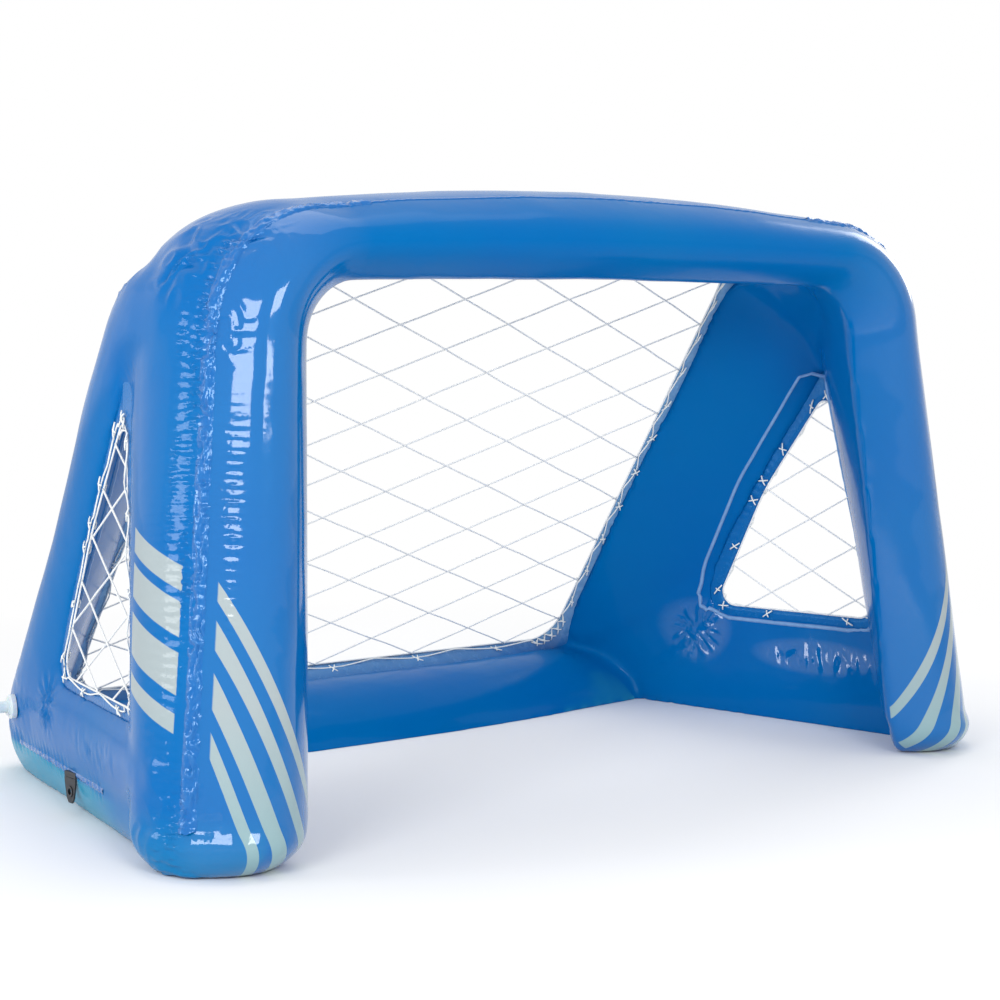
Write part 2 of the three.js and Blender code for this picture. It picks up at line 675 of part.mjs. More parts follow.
const toAxis = new THREE.Matrix4().compose(
  valveSeat.clone().addScaledVector(valveAxis, plugTop),
  new THREE.Quaternion().setFromUnitVectors(V(0, 0, 1), valveAxis), V(1, 1, 1));
bothSides('valve_plug', plug.add(pullTab.transform(toAxis.toArray())));

// Mooring tabs: a lug welded at the outer floor seam, a hanging tab and the rim of its eyelet

const seamX = frameX(mooringY, side.seamZ) - side.inset;
const hingeX = seamX + mooring.standOff;
const lugFoot = side.seamZ - mooring.lugHeight / 2;
const halfTab = mooring.thickness / 2;
const lug = box(
  V(seamX - mooring.lugDepth, mooringY - mooring.width / 2, lugFoot),
  V(hingeX + halfTab, mooringY + mooring.width / 2, lugFoot + mooring.lugHeight));
const aroundLug = box(
  V(seamX - mooring.lugDepth, mooringY - mooring.width / 2 - gap, lugFoot - gap),
  V(hingeX + mooring.lugDepth, mooringY + mooring.width / 2 + gap, lugFoot + mooring.lugHeight + gap));
pieces.floor_seam_r = pieces.floor_seam_r.subtract(aroundLug);
pieces.floor_seam_l = mirrored(pieces.floor_seam_r);
bothSides('mooring_lug', lug.subtract(skin));

const tabTop = lugFoot - 2 * gap;
const eye = V(hingeX, mooringY, tabTop - mooring.eyeDrop);
const tabShape = new THREE.Shape([
  [-mooring.width / 2, 0], [mooring.width / 2, 0], [mooring.width / 2, -mooring.eyeDrop / 3],
  [mooring.tipWidth / 2, -mooring.length + mooring.tipWidth / 3],
  [mooring.tipWidth / 4, -mooring.length], [-mooring.tipWidth / 4, -mooring.length],
  [-mooring.tipWidth / 2, -mooring.length + mooring.tipWidth / 3],
  [-mooring.width / 2, -mooring.eyeDrop / 3]].map(([y, z]) => new THREE.Vector2(y, z)));
const tabPlate = new THREE.ExtrudeGeometry(tabShape, { depth: mooring.thickness, bevelEnabled: false });
tabPlate.rotateX(Math.PI / 2);
tabPlate.rotateZ(Math.PI / 2);
tabPlate.translate(hingeX - halfTab, mooringY, tabTop);
const eyeRadius = mooring.rimRadius + gap;
const eyeHole = new THREE.CylinderGeometry(eyeRadius, eyeRadius, mooring.rimHeight, mooring.segments);
eyeHole.rotateZ(Math.PI / 2);
eyeHole.translate(eye.x, eye.y, eye.z);
bothSides('mooring_tab', solid(facingOut(tabPlate)).subtract(solid(facingOut(eyeHole))));

const rim = new THREE.LatheGeometry([
  [mooring.eyeRadius, -mooring.rimHeight / 2], [mooring.rimRadius, -mooring.rimHeight / 2],
  [mooring.rimRadius, mooring.rimHeight / 2], [mooring.eyeRadius, mooring.rimHeight / 2],
  [mooring.eyeRadius, -mooring.rimHeight / 2]].map(([r, h]) => new THREE.Vector2(r, h)), mooring.segments);
rim.rotateZ(Math.PI / 2);
rim.translate(eye.x, eye.y, eye.z);
bothSides('mooring_rim', solid(facingOut(rim)));

// Look of each kind of piece
const looks = [
  [/net|lacing/, { color: 0xe9ece8, roughness: 0.8 }],
  [/seam|hem/, { color: 0x4b8cc8, roughness: 0.3 }],
  [/valve/, { color: 0xdfe6ea, roughness: 0.35 }],
  [/mooring/, { color: 0x17181a, roughness: 0.45 }],
  [/./, { color: 0x0272b8, roughness: 0.28 }],
];

// The origin is under the middle of the frame's bounding box
const bounds = body.boundingBox();
const middleY = (bounds.min[1] + bounds.max[1]) / 2;
const group = new THREE.Group();
Object.entries(pieces).forEach(([name, manifold]) => {
  const look = looks.find(([kind]) => kind.test(name))[1];
  const mesh = new THREE.Mesh(geometryOf(manifold), new THREE.MeshStandardMaterial(look));
  mesh.name = name;
  mesh.position.set(0, -middleY, 0);
  group.add(mesh);
});

export default group;
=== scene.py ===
"""Inflatable water polo goal: film, welds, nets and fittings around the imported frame."""

import math

import bmesh
import bpy
import numpy as np
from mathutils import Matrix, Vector
from mathutils.bvhtree import BVHTree


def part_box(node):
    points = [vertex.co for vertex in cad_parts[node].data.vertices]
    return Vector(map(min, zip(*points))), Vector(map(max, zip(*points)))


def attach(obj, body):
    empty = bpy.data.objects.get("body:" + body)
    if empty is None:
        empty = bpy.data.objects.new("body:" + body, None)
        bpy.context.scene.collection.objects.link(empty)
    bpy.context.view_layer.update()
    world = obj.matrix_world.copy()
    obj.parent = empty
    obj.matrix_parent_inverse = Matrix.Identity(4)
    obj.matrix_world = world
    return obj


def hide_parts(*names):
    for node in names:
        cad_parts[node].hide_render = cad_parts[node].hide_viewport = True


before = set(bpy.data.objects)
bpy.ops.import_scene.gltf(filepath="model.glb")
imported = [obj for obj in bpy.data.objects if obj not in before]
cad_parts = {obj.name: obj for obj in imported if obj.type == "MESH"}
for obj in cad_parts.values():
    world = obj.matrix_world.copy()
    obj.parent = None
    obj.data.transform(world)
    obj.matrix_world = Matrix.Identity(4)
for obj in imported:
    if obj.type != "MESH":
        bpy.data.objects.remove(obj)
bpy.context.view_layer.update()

# Plan of the frame in metres, measured back from the front of the feet
HALF_WIDTH = 0.700
ARCH_HEIGHT = 0.795
ROOF_CROWN = 0.022
DEPTH = 0.800
LEAN_IN = 0.121  # the side faces stand in by this much for each metre up
ARCH_LEAN = 0.058  # the arch's top stands back from its feet
FOOT_CUT = 0.262  # between a foot and its floor tube
HALF_GAP = 0.00015  # half the gap that the solids keep at a cut
MIDDLE_Y = FOOT_CUT + HALF_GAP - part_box("floor_tube_r")[0][1]

ARCH = dict(
    front_bulge=0.058, outer_bulge=0.022, roof_bulge=0.018, inner_bulge=0.012, bar_bulge=0.024,
    foot_width=0.190, head_width=0.151, foot_depth=0.190, head_depth=0.252,
    bar_height=0.108, rear_drop=0.012, outer_radius=0.158, mouth_radius=0.074,
    rear_radius=0.132, toe_rise=0.046, sole_width=0.76, sole_depth=0.56, bar_half=0.440,
    toe_round=2.3,
)
SIDE = dict(
    roof_z=0.698, slope_top_y=0.358, slope_foot_y=0.806, seam_z=0.054, seam_front_z=0.058,
    roof_radius=0.140, heel_radius=0.042, front_y=0.120, roof_front_y=0.190, inset=0.015,
    rear_bulge=0.015, outer_bulge=0.018, inner_bulge=0.008, window_top_y=0.268,
    window_top_z=0.580, window_foot_y=0.549, window_z=0.165, window_bow=0.018,
    apex_radius=0.040, window_radius=0.034, inner_z=-0.002, inner_heel_radius=0.050,
    inner_roof_radius=0.050, sole_z=-0.010,
    head_rear=0.144, foot_rear=0.094, sole_width=0.052, narrowing=0.126,
    narrow_front_low=0.096, narrow_front_high=0.302, narrow_high_z=0.520,
)
REAR = dict(
    seam_y=0.794, seam_z=0.040, window_y=0.786, window_z=0.084, front_y=0.652, front_z=-0.010,
    outer_bulge=0.006, sole_bulge=0.010, inner_bulge=0.026, half_span=0.540, bow=0.040,
    front_bow=0.048, steps=61,
)
VOXEL = 0.005


def mix(a, b, t):
    """Between a at t 0 and b at t 1."""
    return a + (b - a) * t


def clamp01(t):
    return np.clip(t, 0.0, 1.0)


def smooth_step(low, high, value):
    """0 at low and 1 at high, or the other way round where low is the larger."""
    t = clamp01((value - low) / (high - low))
    return t * t * (3 - 2 * t)


def unit(v):
    return v / np.maximum(np.linalg.norm(v, axis=-1, keepdims=True), 1e-12)


def in_row(points):
    """Points of the plan in the part's own frame."""
    return np.asarray(points, float) - np.array([0.0, MIDDLE_Y, 0.0])


# Noise that is the same each run


def noise(points, size, seed):
    """Smooth noise from -1 to 1 with lumps about size across."""
    table = np.random.default_rng(seed).uniform(-1, 1, 4096)
    at = np.asarray(points, float) / size
    cell = np.floor(at).astype(np.int64)
    part = at - cell
    part = part * part * (3 - 2 * part)
    primes = np.array([73856093, 19349663, 83492791][: at.shape[1]])
    total = np.zeros(len(at))
    for corner in range(2 ** at.shape[1]):
        step = np.array([(corner >> k) & 1 for k in range(at.shape[1])])
        share = np.prod(np.where(step, part, 1 - part), axis=1)
        key = np.bitwise_xor.reduce((cell + step) * primes, axis=1) & 4095
        total += share * table[key]
    return total


def pleats(along, across, pitch, seed):
    """Ridges that run across a seam, from -1 to 1: even in the small, patchy in the large."""
    drift = noise(np.stack([along, across], 1), pitch * 6, seed) * 1.5
    wave = np.sin(2 * np.pi * (along / pitch) + drift * 2.2)
    patch = noise(np.stack([along, across * 0.6], 1), pitch * 4.5, seed + 1)
    fine = noise(np.stack([along, across * 0.25], 1), pitch * 0.55, seed + 2)
    return (wave * 0.75 + fine * 0.45) * (0.55 + 0.75 * patch).clip(0, 1.2)


# Camera first: the photograph's own view

CAMERA_PLACE = (-1.9206, -2.1025, 0.6429)
CAMERA_YAW = 0.6624
CAMERA_PITCH = -0.0825
SENSOR = 36.0
LENS_SHARE = 2.20269  # focal length against the sensor's width
camera_data = bpy.data.cameras.new("camera")
camera = bpy.data.objects.new("camera", camera_data)
bpy.context.scene.collection.objects.link(camera)
bpy.context.scene.camera = camera
camera_data.sensor_width = SENSOR
camera_data.lens = SENSOR * LENS_SHARE
camera_data.shift_x = 0.00859
camera_data.shift_y = 0.00019
camera_data.clip_end = 100.0
camera.location = in_row(CAMERA_PLACE)
forward = Vector((
    math.sin(CAMERA_YAW) * math.cos(CAMERA_PITCH),
    math.cos(CAMERA_YAW) * math.cos(CAMERA_PITCH),
    math.sin(CAMERA_PITCH)))
camera.rotation_mode = "QUATERNION"
camera.rotation_quaternion = forward.to_track_quat("-Z", "Y")


# Shader maths


class Level:
    """A value or colour in a finish; expressions on values add Math nodes."""

    def __init__(self, finish, link):
        self.finish = finish
        self.link = link

    def math(self, operation, *values):
        return self.finish.node(
            "ShaderNodeMath", {"operation": operation}, dict(enumerate(values)))

    def __add__(self, other):
        return self.math("ADD", self, other)

    def __sub__(self, other):
        return self.math("SUBTRACT", self, other)

    def __rsub__(self, other):
        return self.math("SUBTRACT", other, self)

    def __mul__(self, other):
        return self.math("MULTIPLY", self, other)

    def __truediv__(self, other):
        return self.math("DIVIDE", self, other)

    __radd__ = __add__
    __rmul__ = __mul__

    def above(self, edge, soft=0.0006):
        """1 where the value is above the edge, 0 below, with a soft change of that width."""
        return ((self - edge) / (2 * soft) + 0.5).clipped()

    def below(self, edge, soft=0.0006):
        """1 where the value is below the edge, 0 above."""
        return 1.0 - self.above(edge, soft)

    def clipped(self):
        made = self.math("ADD", self, 0.0)
        made.link.node.use_clamp = True
        return made

    def absolute(self):
        return self.math("ABSOLUTE", self)


class Finish:
    """The nodes of a procedural material, or of the world: one method makes every node."""

    def __init__(self, name, owner=None):
        self.owner = owner or bpy.data.materials.new(name)
        self.owner.use_nodes = True
        self.tree = self.owner.node_tree
        self.tree.nodes.clear()

    def node(self, kind, settings=None, inputs=None, output=0):
        """Makes a node of a kind with its settings, then its sockets' values or links."""
        made = self.tree.nodes.new(kind)
        for key, value in (settings or {}).items():
            setattr(made, key, value)
        for key, value in (inputs or {}).items():
            socket = made.inputs[key]
            if isinstance(value, Level):
                self.tree.links.new(value.link, socket)
            else:
                socket.default_value = value
        return Level(self, made.outputs[output] if len(made.outputs) else made)

    def place(self):
        """The point's X, Y and Z in the part's frame."""
        at = self.node("ShaderNodeNewGeometry")
        split = self.node("ShaderNodeSeparateXYZ", inputs={"Vector": at})
        axes = split.link.node.outputs
        return [Level(self, axis) for axis in axes]

    def lumps(self, scale, detail=2.0, rough=0.5):
        """Smooth noise in space, from 0 to 1."""
        return self.node("ShaderNodeTexNoise", inputs={
            "Vector": self.node("ShaderNodeNewGeometry"), "Scale": scale, "Detail": detail,
            "Roughness": rough})

    def blend(self, share, first, second):
        """The first colour where the share is 0, the second where it is 1."""
        made = self.tree.nodes.new("ShaderNodeMix")
        made.data_type = "RGBA"
        for socket, value in ((made.inputs[0], share), (made.inputs[6], first),
                              (made.inputs[7], second)):
            if isinstance(value, Level):
                self.tree.links.new(value.link, socket)
            else:
                socket.default_value = value
        return Level(self, made.outputs[2])

    def bump(self, height, strength, distance, normal=None):
        inputs = {"Height": height, "Strength": strength, "Distance": distance}
        if normal is not None:
            inputs["Normal"] = normal
        return self.node("ShaderNodeBump", inputs=inputs)

    def surface(self, **inputs):
        named = {key.replace("_", " "): value for key, value in inputs.items()}
        shader = self.node("ShaderNodeBsdfPrincipled", inputs=named)
        self.node("ShaderNodeOutputMaterial", inputs={"Surface": shader})
        return self.owner


def rgb(r, g, b):
    return (r, g, b, 1.0)


BLUE = rgb(0.000, 0.138, 0.405)
DEEP_BLUE = rgb(0.000, 0.117, 0.400)
# Painted reflection: pale teal put on the film low down on its outward faces
PAINTED_TEAL_REFLECTION = rgb(0.024, 0.285, 0.430)
INK = rgb(0.375, 0.430, 0.430)
TEAL_INK = rgb(0.220, 0.400, 0.420)

# Stripe edges on the front sheet: height against distance in from a line near the weld
STRIPE_LINE = 0.645
FRONT_STRIPES = [
    ((0.402, -2.82, 2.9), (0.378, -3.15, 5.6)),
    ((0.352, -3.35, 5.0), (0.303, -3.13, 3.3)),
    ((0.275, -3.95, 8.0), (0.216, -4.20, 10.0)),
    ((0.178, -4.95, 18.0), (0.130, -5.20, 22.0)),
]
SIDE_STRIPE_SLOPE = 0.36
SIDE_STRIPES = [(0.324, 0.352), (0.273, 0.312), (0.209, 0.256), (0.167, 0.189)]


# Glossier spots low on the inner faces: plan y, height, half length, half height
BRIGHT_SPOTS = [(0.320, 0.105, 0.110, 0.026), (0.548, 0.128, 0.060, 0.050)]


def film_finish(name):
    """Glossy blue film with printed stripes near the feet, and a painted teal reflection low on its
    outward faces.
    """
    f = Finish(name)
    x, y, z = f.place()
    y = y + MIDDLE_Y
    across = x.absolute()
    broad = f.lumps(3.2, 2.0)
    colour = f.blend((broad - 0.35) * 2.2, BLUE, DEEP_BLUE)
    low = f.lumps(9.0, 3.0) * 0.012 - 0.006
    facing = f.node("ShaderNodeSeparateXYZ", inputs={
        "Vector": f.node("ShaderNodeNewGeometry", output=1)})
    outward = (facing * x).above(0.08, 0.04)
    inward = (facing * x).below(-0.05, 0.05)
    # Painted reflection: pale teal low on the outward faces towards the back
    under = (z + low).below(0.050, 0.004) * y.above(0.330, 0.06) * outward
    colour = f.blend(under * 0.85, colour, PAINTED_TEAL_REFLECTION)
    # Painted reflection: a little pale teal at the foot of every outward face
    toe = z.below(0.040, 0.040) * outward * 0.35
    colour = f.blend(toe, colour, PAINTED_TEAL_REFLECTION)
    lean = z * (ARCH_LEAN / (ARCH_HEIGHT - ARCH["outer_radius"]))
    depth = y - lean
    in_from_edge = HALF_WIDTH - across - z * LEAN_IN
    u = STRIPE_LINE - across
    front = depth.below(ARCH["front_bulge"] - 0.003) * in_from_edge.above(0.036)
    side = depth.above(0.082) * depth.below(0.183) * in_from_edge.below(0.040)
    ink = 0.0
    for upper, lower in FRONT_STRIPES:
        top, foot = (u * u * c[2] + u * c[1] + c[0] for c in (upper, lower))
        ink = ink + (top - z).above(0.0) * (z - foot).above(0.0) * front
    for foot, top in SIDE_STRIPES:
        height = z - (y - 0.100) * SIDE_STRIPE_SLOPE
        ink = ink + height.above(foot) * height.below(top) * side
    grain = f.lumps(900.0, 1.0) * 0.10
    pale = f.blend(z.below(0.105, 0.09) * 0.8, INK, TEAL_INK)
    colour = f.blend((ink - grain).clipped(), colour, pale)
    haze = f.lumps(14.0, 3.0, 0.6)
    roughness = haze * 0.10 + ink.clipped() * 0.12 + 0.17
    post = across.above(0.46, 0.05) * y.below(0.30, 0.06)
    sheet = depth.below(ARCH["front_bulge"] + 0.004, 0.014)
    gloss = post * (sheet * 0.64 + 0.17) + haze * 0.06 + 0.04
    for spot_y, spot_z, half_long, half_high in BRIGHT_SPOTS:
        u, v = (y - spot_y) / half_long, (z - spot_z) / half_high
        gloss = gloss + (u * u + v * v).below(1.0, 0.3) * inward * 0.85
    soft = f.bump(f.lumps(38.0, 2.0, 0.5), 0.10, 0.004)
    fine = f.bump(f.lumps(520.0, 2.0, 0.6), 0.025, 0.0006, soft)
    return f.surface(
        Base_Color=colour, Roughness=roughness, Normal=fine, IOR=1.40,
        Specular_IOR_Level=0.09, Specular_Tint=rgb(0.20, 0.62, 1.0),
        Coat_Weight=gloss, Coat_Roughness=0.06)


def highlighted_weld_finish(name, pale=(0.08, 0.26, 0.54), reach=0.06):
    """Heat-welded film: the same blue, with a painted highlight that makes its ridges paler, in
    patches.
    """
    f = Finish(name)
    ridge_highlight = f.node("ShaderNodeNewGeometry", output=7)
    stretched = f.lumps(60.0, 3.0, 0.65)
    # Painted highlight: the colour turns paler on convex ridges
    share = ((ridge_highlight - 0.5) * 4.0 + (stretched - 0.5) * 0.7 + reach).clipped()
    colour = f.blend(share * 0.5, rgb(0.001, 0.115, 0.40), rgb(*pale))
    fine = f.bump(f.lumps(330.0, 3.0, 0.6), 0.12, 0.0008)
    return f.surface(Base_Color=colour, Roughness=(stretched * 0.16) + 0.14, Normal=fine,
                     Specular_IOR_Level=0.5, Specular_Tint=rgb(0.35, 0.72, 1.0),
                     Coat_Weight=0.4, Coat_Roughness=0.07)


def hem_finish(name, thin, thick, opaque, foot=None):
    """Thin film of the hems, paler in cloudy patches, and darker along the foot."""
    f = Finish(name)
    cloudy = f.lumps(70.0, 3.0, 0.6)
    colour = f.blend(cloudy, rgb(*thick), rgb(*thin))
    if foot:
        _, _, z = f.place()
        colour = f.blend(z.below(0.100, 0.020), colour, rgb(*foot))
    fine = f.bump(f.lumps(240.0, 3.0, 0.6), 0.2, 0.001)
    return f.surface(Base_Color=colour, Roughness=cloudy * 0.2 + 0.16, Normal=fine,
                     Alpha=cloudy * 0.10 + opaque, Specular_Tint=rgb(0.4, 0.75, 1.0))


def cord_finish(name, colour=(0.92, 0.93, 0.92)):
    """Braided cord: fine slanted plaits with a little dirt."""
    f = Finish(name)
    at = f.node("ShaderNodeNewGeometry")
    plait = f.node("ShaderNodeTexWave", {"wave_type": "BANDS", "bands_direction": "DIAGONAL"},
                   {"Vector": at, "Scale": 420.0, "Distortion": 2.0, "Detail": 1.0}, output=1)
    dirt = f.lumps(60.0, 3.0)
    r, g, b = colour
    pale = f.blend((dirt - 0.3) * 0.6, rgb(r, g, b), rgb(r * 0.84, g * 0.86, b * 0.86))
    plaited = f.blend(plait * 0.14, pale, rgb(r * 0.74, g * 0.76, b * 0.77))
    return f.surface(Base_Color=plaited, Roughness=0.78 + dirt * 0.1,
                     Normal=f.bump(plait, 0.4, 0.0004))


def milky_finish(name):
    """Milky soft plastic of the valves."""
    f = Finish(name)
    cloudy = f.lumps(180.0, 3.0)
    colour = f.blend(cloudy, rgb(0.62, 0.68, 0.70), rgb(0.78, 0.82, 0.83))
    return f.surface(Base_Color=colour, Roughness=cloudy * 0.15 + 0.26,
                     Normal=f.bump(f.lumps(700.0), 0.06, 0.0005), Subsurface_Weight=0.15)


def black_finish(name, shine):
    """Black moulded or flexible plastic with a fine grain and scattered scuffs."""
    f = Finish(name)
    grain = f.lumps(900.0, 2.0)
    scuffs = f.lumps(120.0, 4.0, 0.7)
    colour = f.blend((scuffs - 0.5) * 2.0, rgb(0.012, 0.012, 0.014), rgb(0.06, 0.065, 0.07))
    return f.surface(Base_Color=colour, Roughness=scuffs * 0.25 + shine,
                     Normal=f.bump(grain, 0.12, 0.0005))


FILM = film_finish("film_blue")
# Weld films with painted highlights on their ridges, strongest on the bead
WELD = highlighted_weld_finish("film_weld")
BEAD_HIGHLIGHT_WELD = highlighted_weld_finish("film_weld_bead_highlight", (0.42, 0.62, 0.84), 0.80)
PALE_HEM = hem_finish("film_hem_pale", (0.30, 0.52, 0.74), (0.06, 0.27, 0.58), 0.80,
                      foot=(0.001, 0.130, 0.410))
BLUE_HEM = hem_finish("film_hem_blue", (0.002, 0.140, 0.410), (0.000, 0.120, 0.400), 0.95)
NET_CORD = cord_finish("net_cord")
TIE_CORD = cord_finish("tie_cord", (0.93, 0.94, 0.90))
MILKY = milky_finish("valve_milky")
TAB_BLACK = black_finish("tab_black", 0.30)
RIM_BLACK = black_finish("rim_black", 0.16)


# Lines and tubes of the plan


def bent_line(corners, radii, straight_steps, corner_steps):
    """Points along a bent line: straight parts with a rounded corner between."""
    corners = [np.asarray(p, float) for p in corners]
    points = []
    start = corners[0]
    for i in range(1, len(corners) - 1):
        p = corners[i]
        to, away = unit(corners[i - 1] - p), unit(corners[i + 1] - p)
        half = math.acos(float(np.dot(to, away))) / 2
        reach = radii[i - 1] / math.tan(half)
        centre = p + unit(to + away) * radii[i - 1] / math.sin(half)
        first, last = p + to * reach, p + away * reach
        a0 = math.atan2(*(first - centre)[::-1])
        turn = math.atan2(*(last - centre)[::-1]) - a0
        turn = (turn + math.pi) % (2 * math.pi) - math.pi
        points += [mix(start, first, k / straight_steps[i - 1]) for k in range(straight_steps[i - 1])]
        angles = a0 + turn * np.arange(corner_steps[i - 1]) / corner_steps[i - 1]
        points += [centre + radii[i - 1] * np.array([math.cos(a), math.sin(a)]) for a in angles]
        start = last
    points += [mix(start, corners[-1], k / straight_steps[-1]) for k in range(straight_steps[-1])]
    points.append(corners[-1])
    return np.array(points)


def tube_rings(seams, bulges, steps):
    """Rings through the seams of each step, with a bulged strip between each two."""
    seams = np.stack(seams, 1)
    bulges = np.stack([np.broadcast_to(b, len(seams)) for b in bulges], 1)
    centre = seams.mean(1)
    parts = []
    for i in range(seams.shape[1]):
        a, b = seams[:, i], seams[:, (i + 1) % seams.shape[1]]
        edge = b - a
        out = (a + b) / 2 - centre
        out = unit(out - edge * ((out * edge).sum(1) / (edge * edge).sum(1))[:, None])
        t = (np.arange(steps) / steps)[None, :, None]
        parts.append(a[:, None] + edge[:, None] * t
                     + out[:, None] * bulges[:, i, None, None] * 4 * t * (1 - t))
    return np.concatenate(parts, 1)


STRIP = 14  # points across each strip of a ring
DENSE = 3  # how finely lines are stepped
MIRROR = np.array([-1.0, 1.0, 1.0])


def side_x(z):
    """How far out the side faces stand at a height."""
    return HALF_WIDTH - LEAN_IN * z


def arch_seam(foot_inset, head_inset, foot_y, head_y, bar_z, radius, rise):
    """One of the arch's seams, from a foot up and over to the middle of the bar."""
    line = bent_line(
        [(HALF_WIDTH - foot_inset, 0), (side_x(bar_z) - head_inset, bar_z), (0, bar_z)],
        [radius], [8 * DENSE, 7 * DENSE], [7 * DENSE])
    x, z = line[:, 0], line[:, 1]
    t = clamp01(z / (bar_z - radius))
    crown = rise * (1 - np.minimum(1, (x / ARCH["bar_half"]) ** 2))
    return np.stack([x, mix(foot_y, head_y, t), z + crown], 1)


def arch_rings():
    """The front arch: rings through its front, mouth and rear seams, on rounded toes."""
    a = ARCH
    front = a["front_bulge"]
    k1 = arch_seam(a["outer_bulge"], a["outer_bulge"], front, ARCH_LEAN + front,
                   ARCH_HEIGHT - a["roof_bulge"], a["outer_radius"], ROOF_CROWN)
    k2 = arch_seam(a["foot_width"], a["head_width"], front, ARCH_LEAN + front,
                   ARCH_HEIGHT - a["bar_height"], a["mouth_radius"], ROOF_CROWN / 4)
    k3 = arch_seam(a["outer_bulge"], a["outer_bulge"], a["foot_depth"], ARCH_LEAN + a["head_depth"],
                   ARCH_HEIGHT - a["roof_bulge"] - a["rear_drop"], a["rear_radius"], ROOF_CROWN)
    t = clamp01((k1[:, 2] - ARCH_HEIGHT + a["outer_radius"]) / a["outer_radius"])
    rings = tube_rings([k1, k2, k3], [
        front, mix(a["inner_bulge"], a["bar_bulge"], t),
        mix(a["outer_bulge"], a["roof_bulge"], t)], STRIP)
    toe = rings[0]
    centre = toe.mean(0)
    foot = []
    for z in np.linspace(0, a["toe_rise"], 9)[:-1]:
        high = (1 - z / a["toe_rise"]) ** a["toe_round"]
        wide = 1 - (1 - a["sole_width"]) * high
        deep = 1 - (1 - a["sole_depth"]) * high
        foot.append(np.stack([
            mix(centre[0], toe[:, 0], wide), mix(centre[1], toe[:, 1], deep),
            np.full(len(toe), z)], 1))
    lifted = toe.copy()
    lifted[:, 2] = a["toe_rise"]
    above = rings[1:]
    above = above[above[:, 0, 2] > a["toe_rise"] + 0.002]
    right = np.concatenate([np.array(foot), lifted[None], above])
    left = right[:-1][::-1] * MIRROR
    return np.concatenate([right, left]), k1, k2, k3


def narrowing(y, z):
    """How far a side stands in, more towards the back."""
    start = mix(SIDE["narrow_front_low"], SIDE["narrow_front_high"],
                clamp01(z / SIDE["narrow_high_z"]))
    return SIDE["narrowing"] * clamp01((y - start) / (DEPTH - start))


def frame_x(y, z):
    """The outer face of a side at a place on it."""
    return side_x(z) - narrowing(y, z)


def slope_y(z):
    """The rear slope's outer line at a height."""
    return mix(SIDE["slope_top_y"], SIDE["slope_foot_y"],
               (SIDE["roof_z"] - z) / (SIDE["roof_z"] - SIDE["seam_z"]))


def side_rings():
    """A side's tube: down the slope, round the heel and forward along the floor."""
    s = SIDE
    straight = [3 * DENSE, 8 * DENSE, 8 * DENSE]
    corner = [4 * DENSE, 5 * DENSE]
    outer = bent_line(
        [(s["roof_front_y"], s["roof_z"]), (s["slope_top_y"], s["roof_z"]),
         (s["slope_foot_y"], s["seam_z"]), (s["front_y"], s["seam_front_z"])],
        [s["roof_radius"], s["heel_radius"]], straight, corner)
    window = bent_line(
        [(s["roof_front_y"], s["window_top_z"]), (s["window_top_y"], s["window_top_z"]),
         (s["window_foot_y"], s["window_z"]), (s["front_y"], s["window_z"])],
        [s["apex_radius"], s["window_radius"]], straight, corner)
    inner = bent_line(
        [(s["roof_front_y"], s["roof_z"]), (s["slope_top_y"], s["roof_z"]),
         (slope_y(s["inner_z"]), s["sole_z"]), (s["front_y"], s["sole_z"])],
        [s["inner_roof_radius"], s["inner_heel_radius"]], straight, corner)
    heel = straight[0] + corner[0] + straight[1]
    i = np.arange(len(outer))
    slope_t = clamp01((s["roof_z"] - window[:, 1]) / (s["roof_z"] - s["window_z"]))
    bow = np.where(i < heel, s["window_bow"] * 4 * slope_t * (1 - slope_t), 0)
    t = clamp01((s["roof_z"] - inner[:, 1]) / (s["roof_z"] - s["inner_z"]))
    ahead = clamp01((i - heel) / corner[1])
    reach = mix(mix(s["head_rear"], s["foot_rear"], t), s["sole_width"], ahead)
    wy = window[:, 0] + bow
    k1 = np.stack([frame_x(*outer.T) - s["inset"], *outer.T], 1)
    k2 = np.stack([frame_x(wy, window[:, 1]) - s["inset"], wy, window[:, 1]], 1)
    k3 = np.stack([frame_x(*inner.T) - reach, *inner.T], 1)
    rings = tube_rings([k1, k2, k3], [s["outer_bulge"], s["inner_bulge"], s["rear_bulge"]], STRIP)
    return rings, k1, k2, k3


def rear_rings():
    """The tube along the floor at the back, bowed forward in its middle."""
    r = REAR
    t = np.linspace(-1, 1, r["steps"])
    x, crown = r["half_span"] * t, 1 - t * t
    k1, k2, k3 = (
        np.stack([x, y - bow * crown, np.full(len(t), z)], 1) for y, bow, z in (
            (r["seam_y"], r["bow"], r["seam_z"]), (r["window_y"], r["bow"], r["window_z"]),
            (r["front_y"], r["front_bow"], r["front_z"])))
    return tube_rings([k1, k2, k3], [r["outer_bulge"], r["inner_bulge"], r["sole_bulge"]],
                      STRIP), k1, k2, k3


def tube_mesh(rings):
    """Points and faces of a closed tube with flat ends."""
    count, n = rings.shape[:2]
    i, j = np.meshgrid(np.arange(count - 1), np.arange(n), indexing="ij")
    a, b = i * n + j, i * n + (j + 1) % n
    quads = np.stack([a, a + n, b + n, b], -1).reshape(-1, 4)
    ends = [list(range(n)), list(range((count - 1) * n, count * n))[::-1]]
    return rings.reshape(-1, 3), [list(q) for q in quads] + ends


def mesh_object(name, points, faces, material=None):
    mesh = bpy.data.meshes.new(name)
    mesh.from_pydata([tuple(p) for p in points], [], [list(map(int, f)) for f in faces])
    mesh.validate()
    mesh.shade_smooth()
    made = bpy.data.objects.new(name, mesh)
    bpy.context.scene.collection.objects.link(made)
    if material is not None:
        mesh.materials.append(material)
    return made


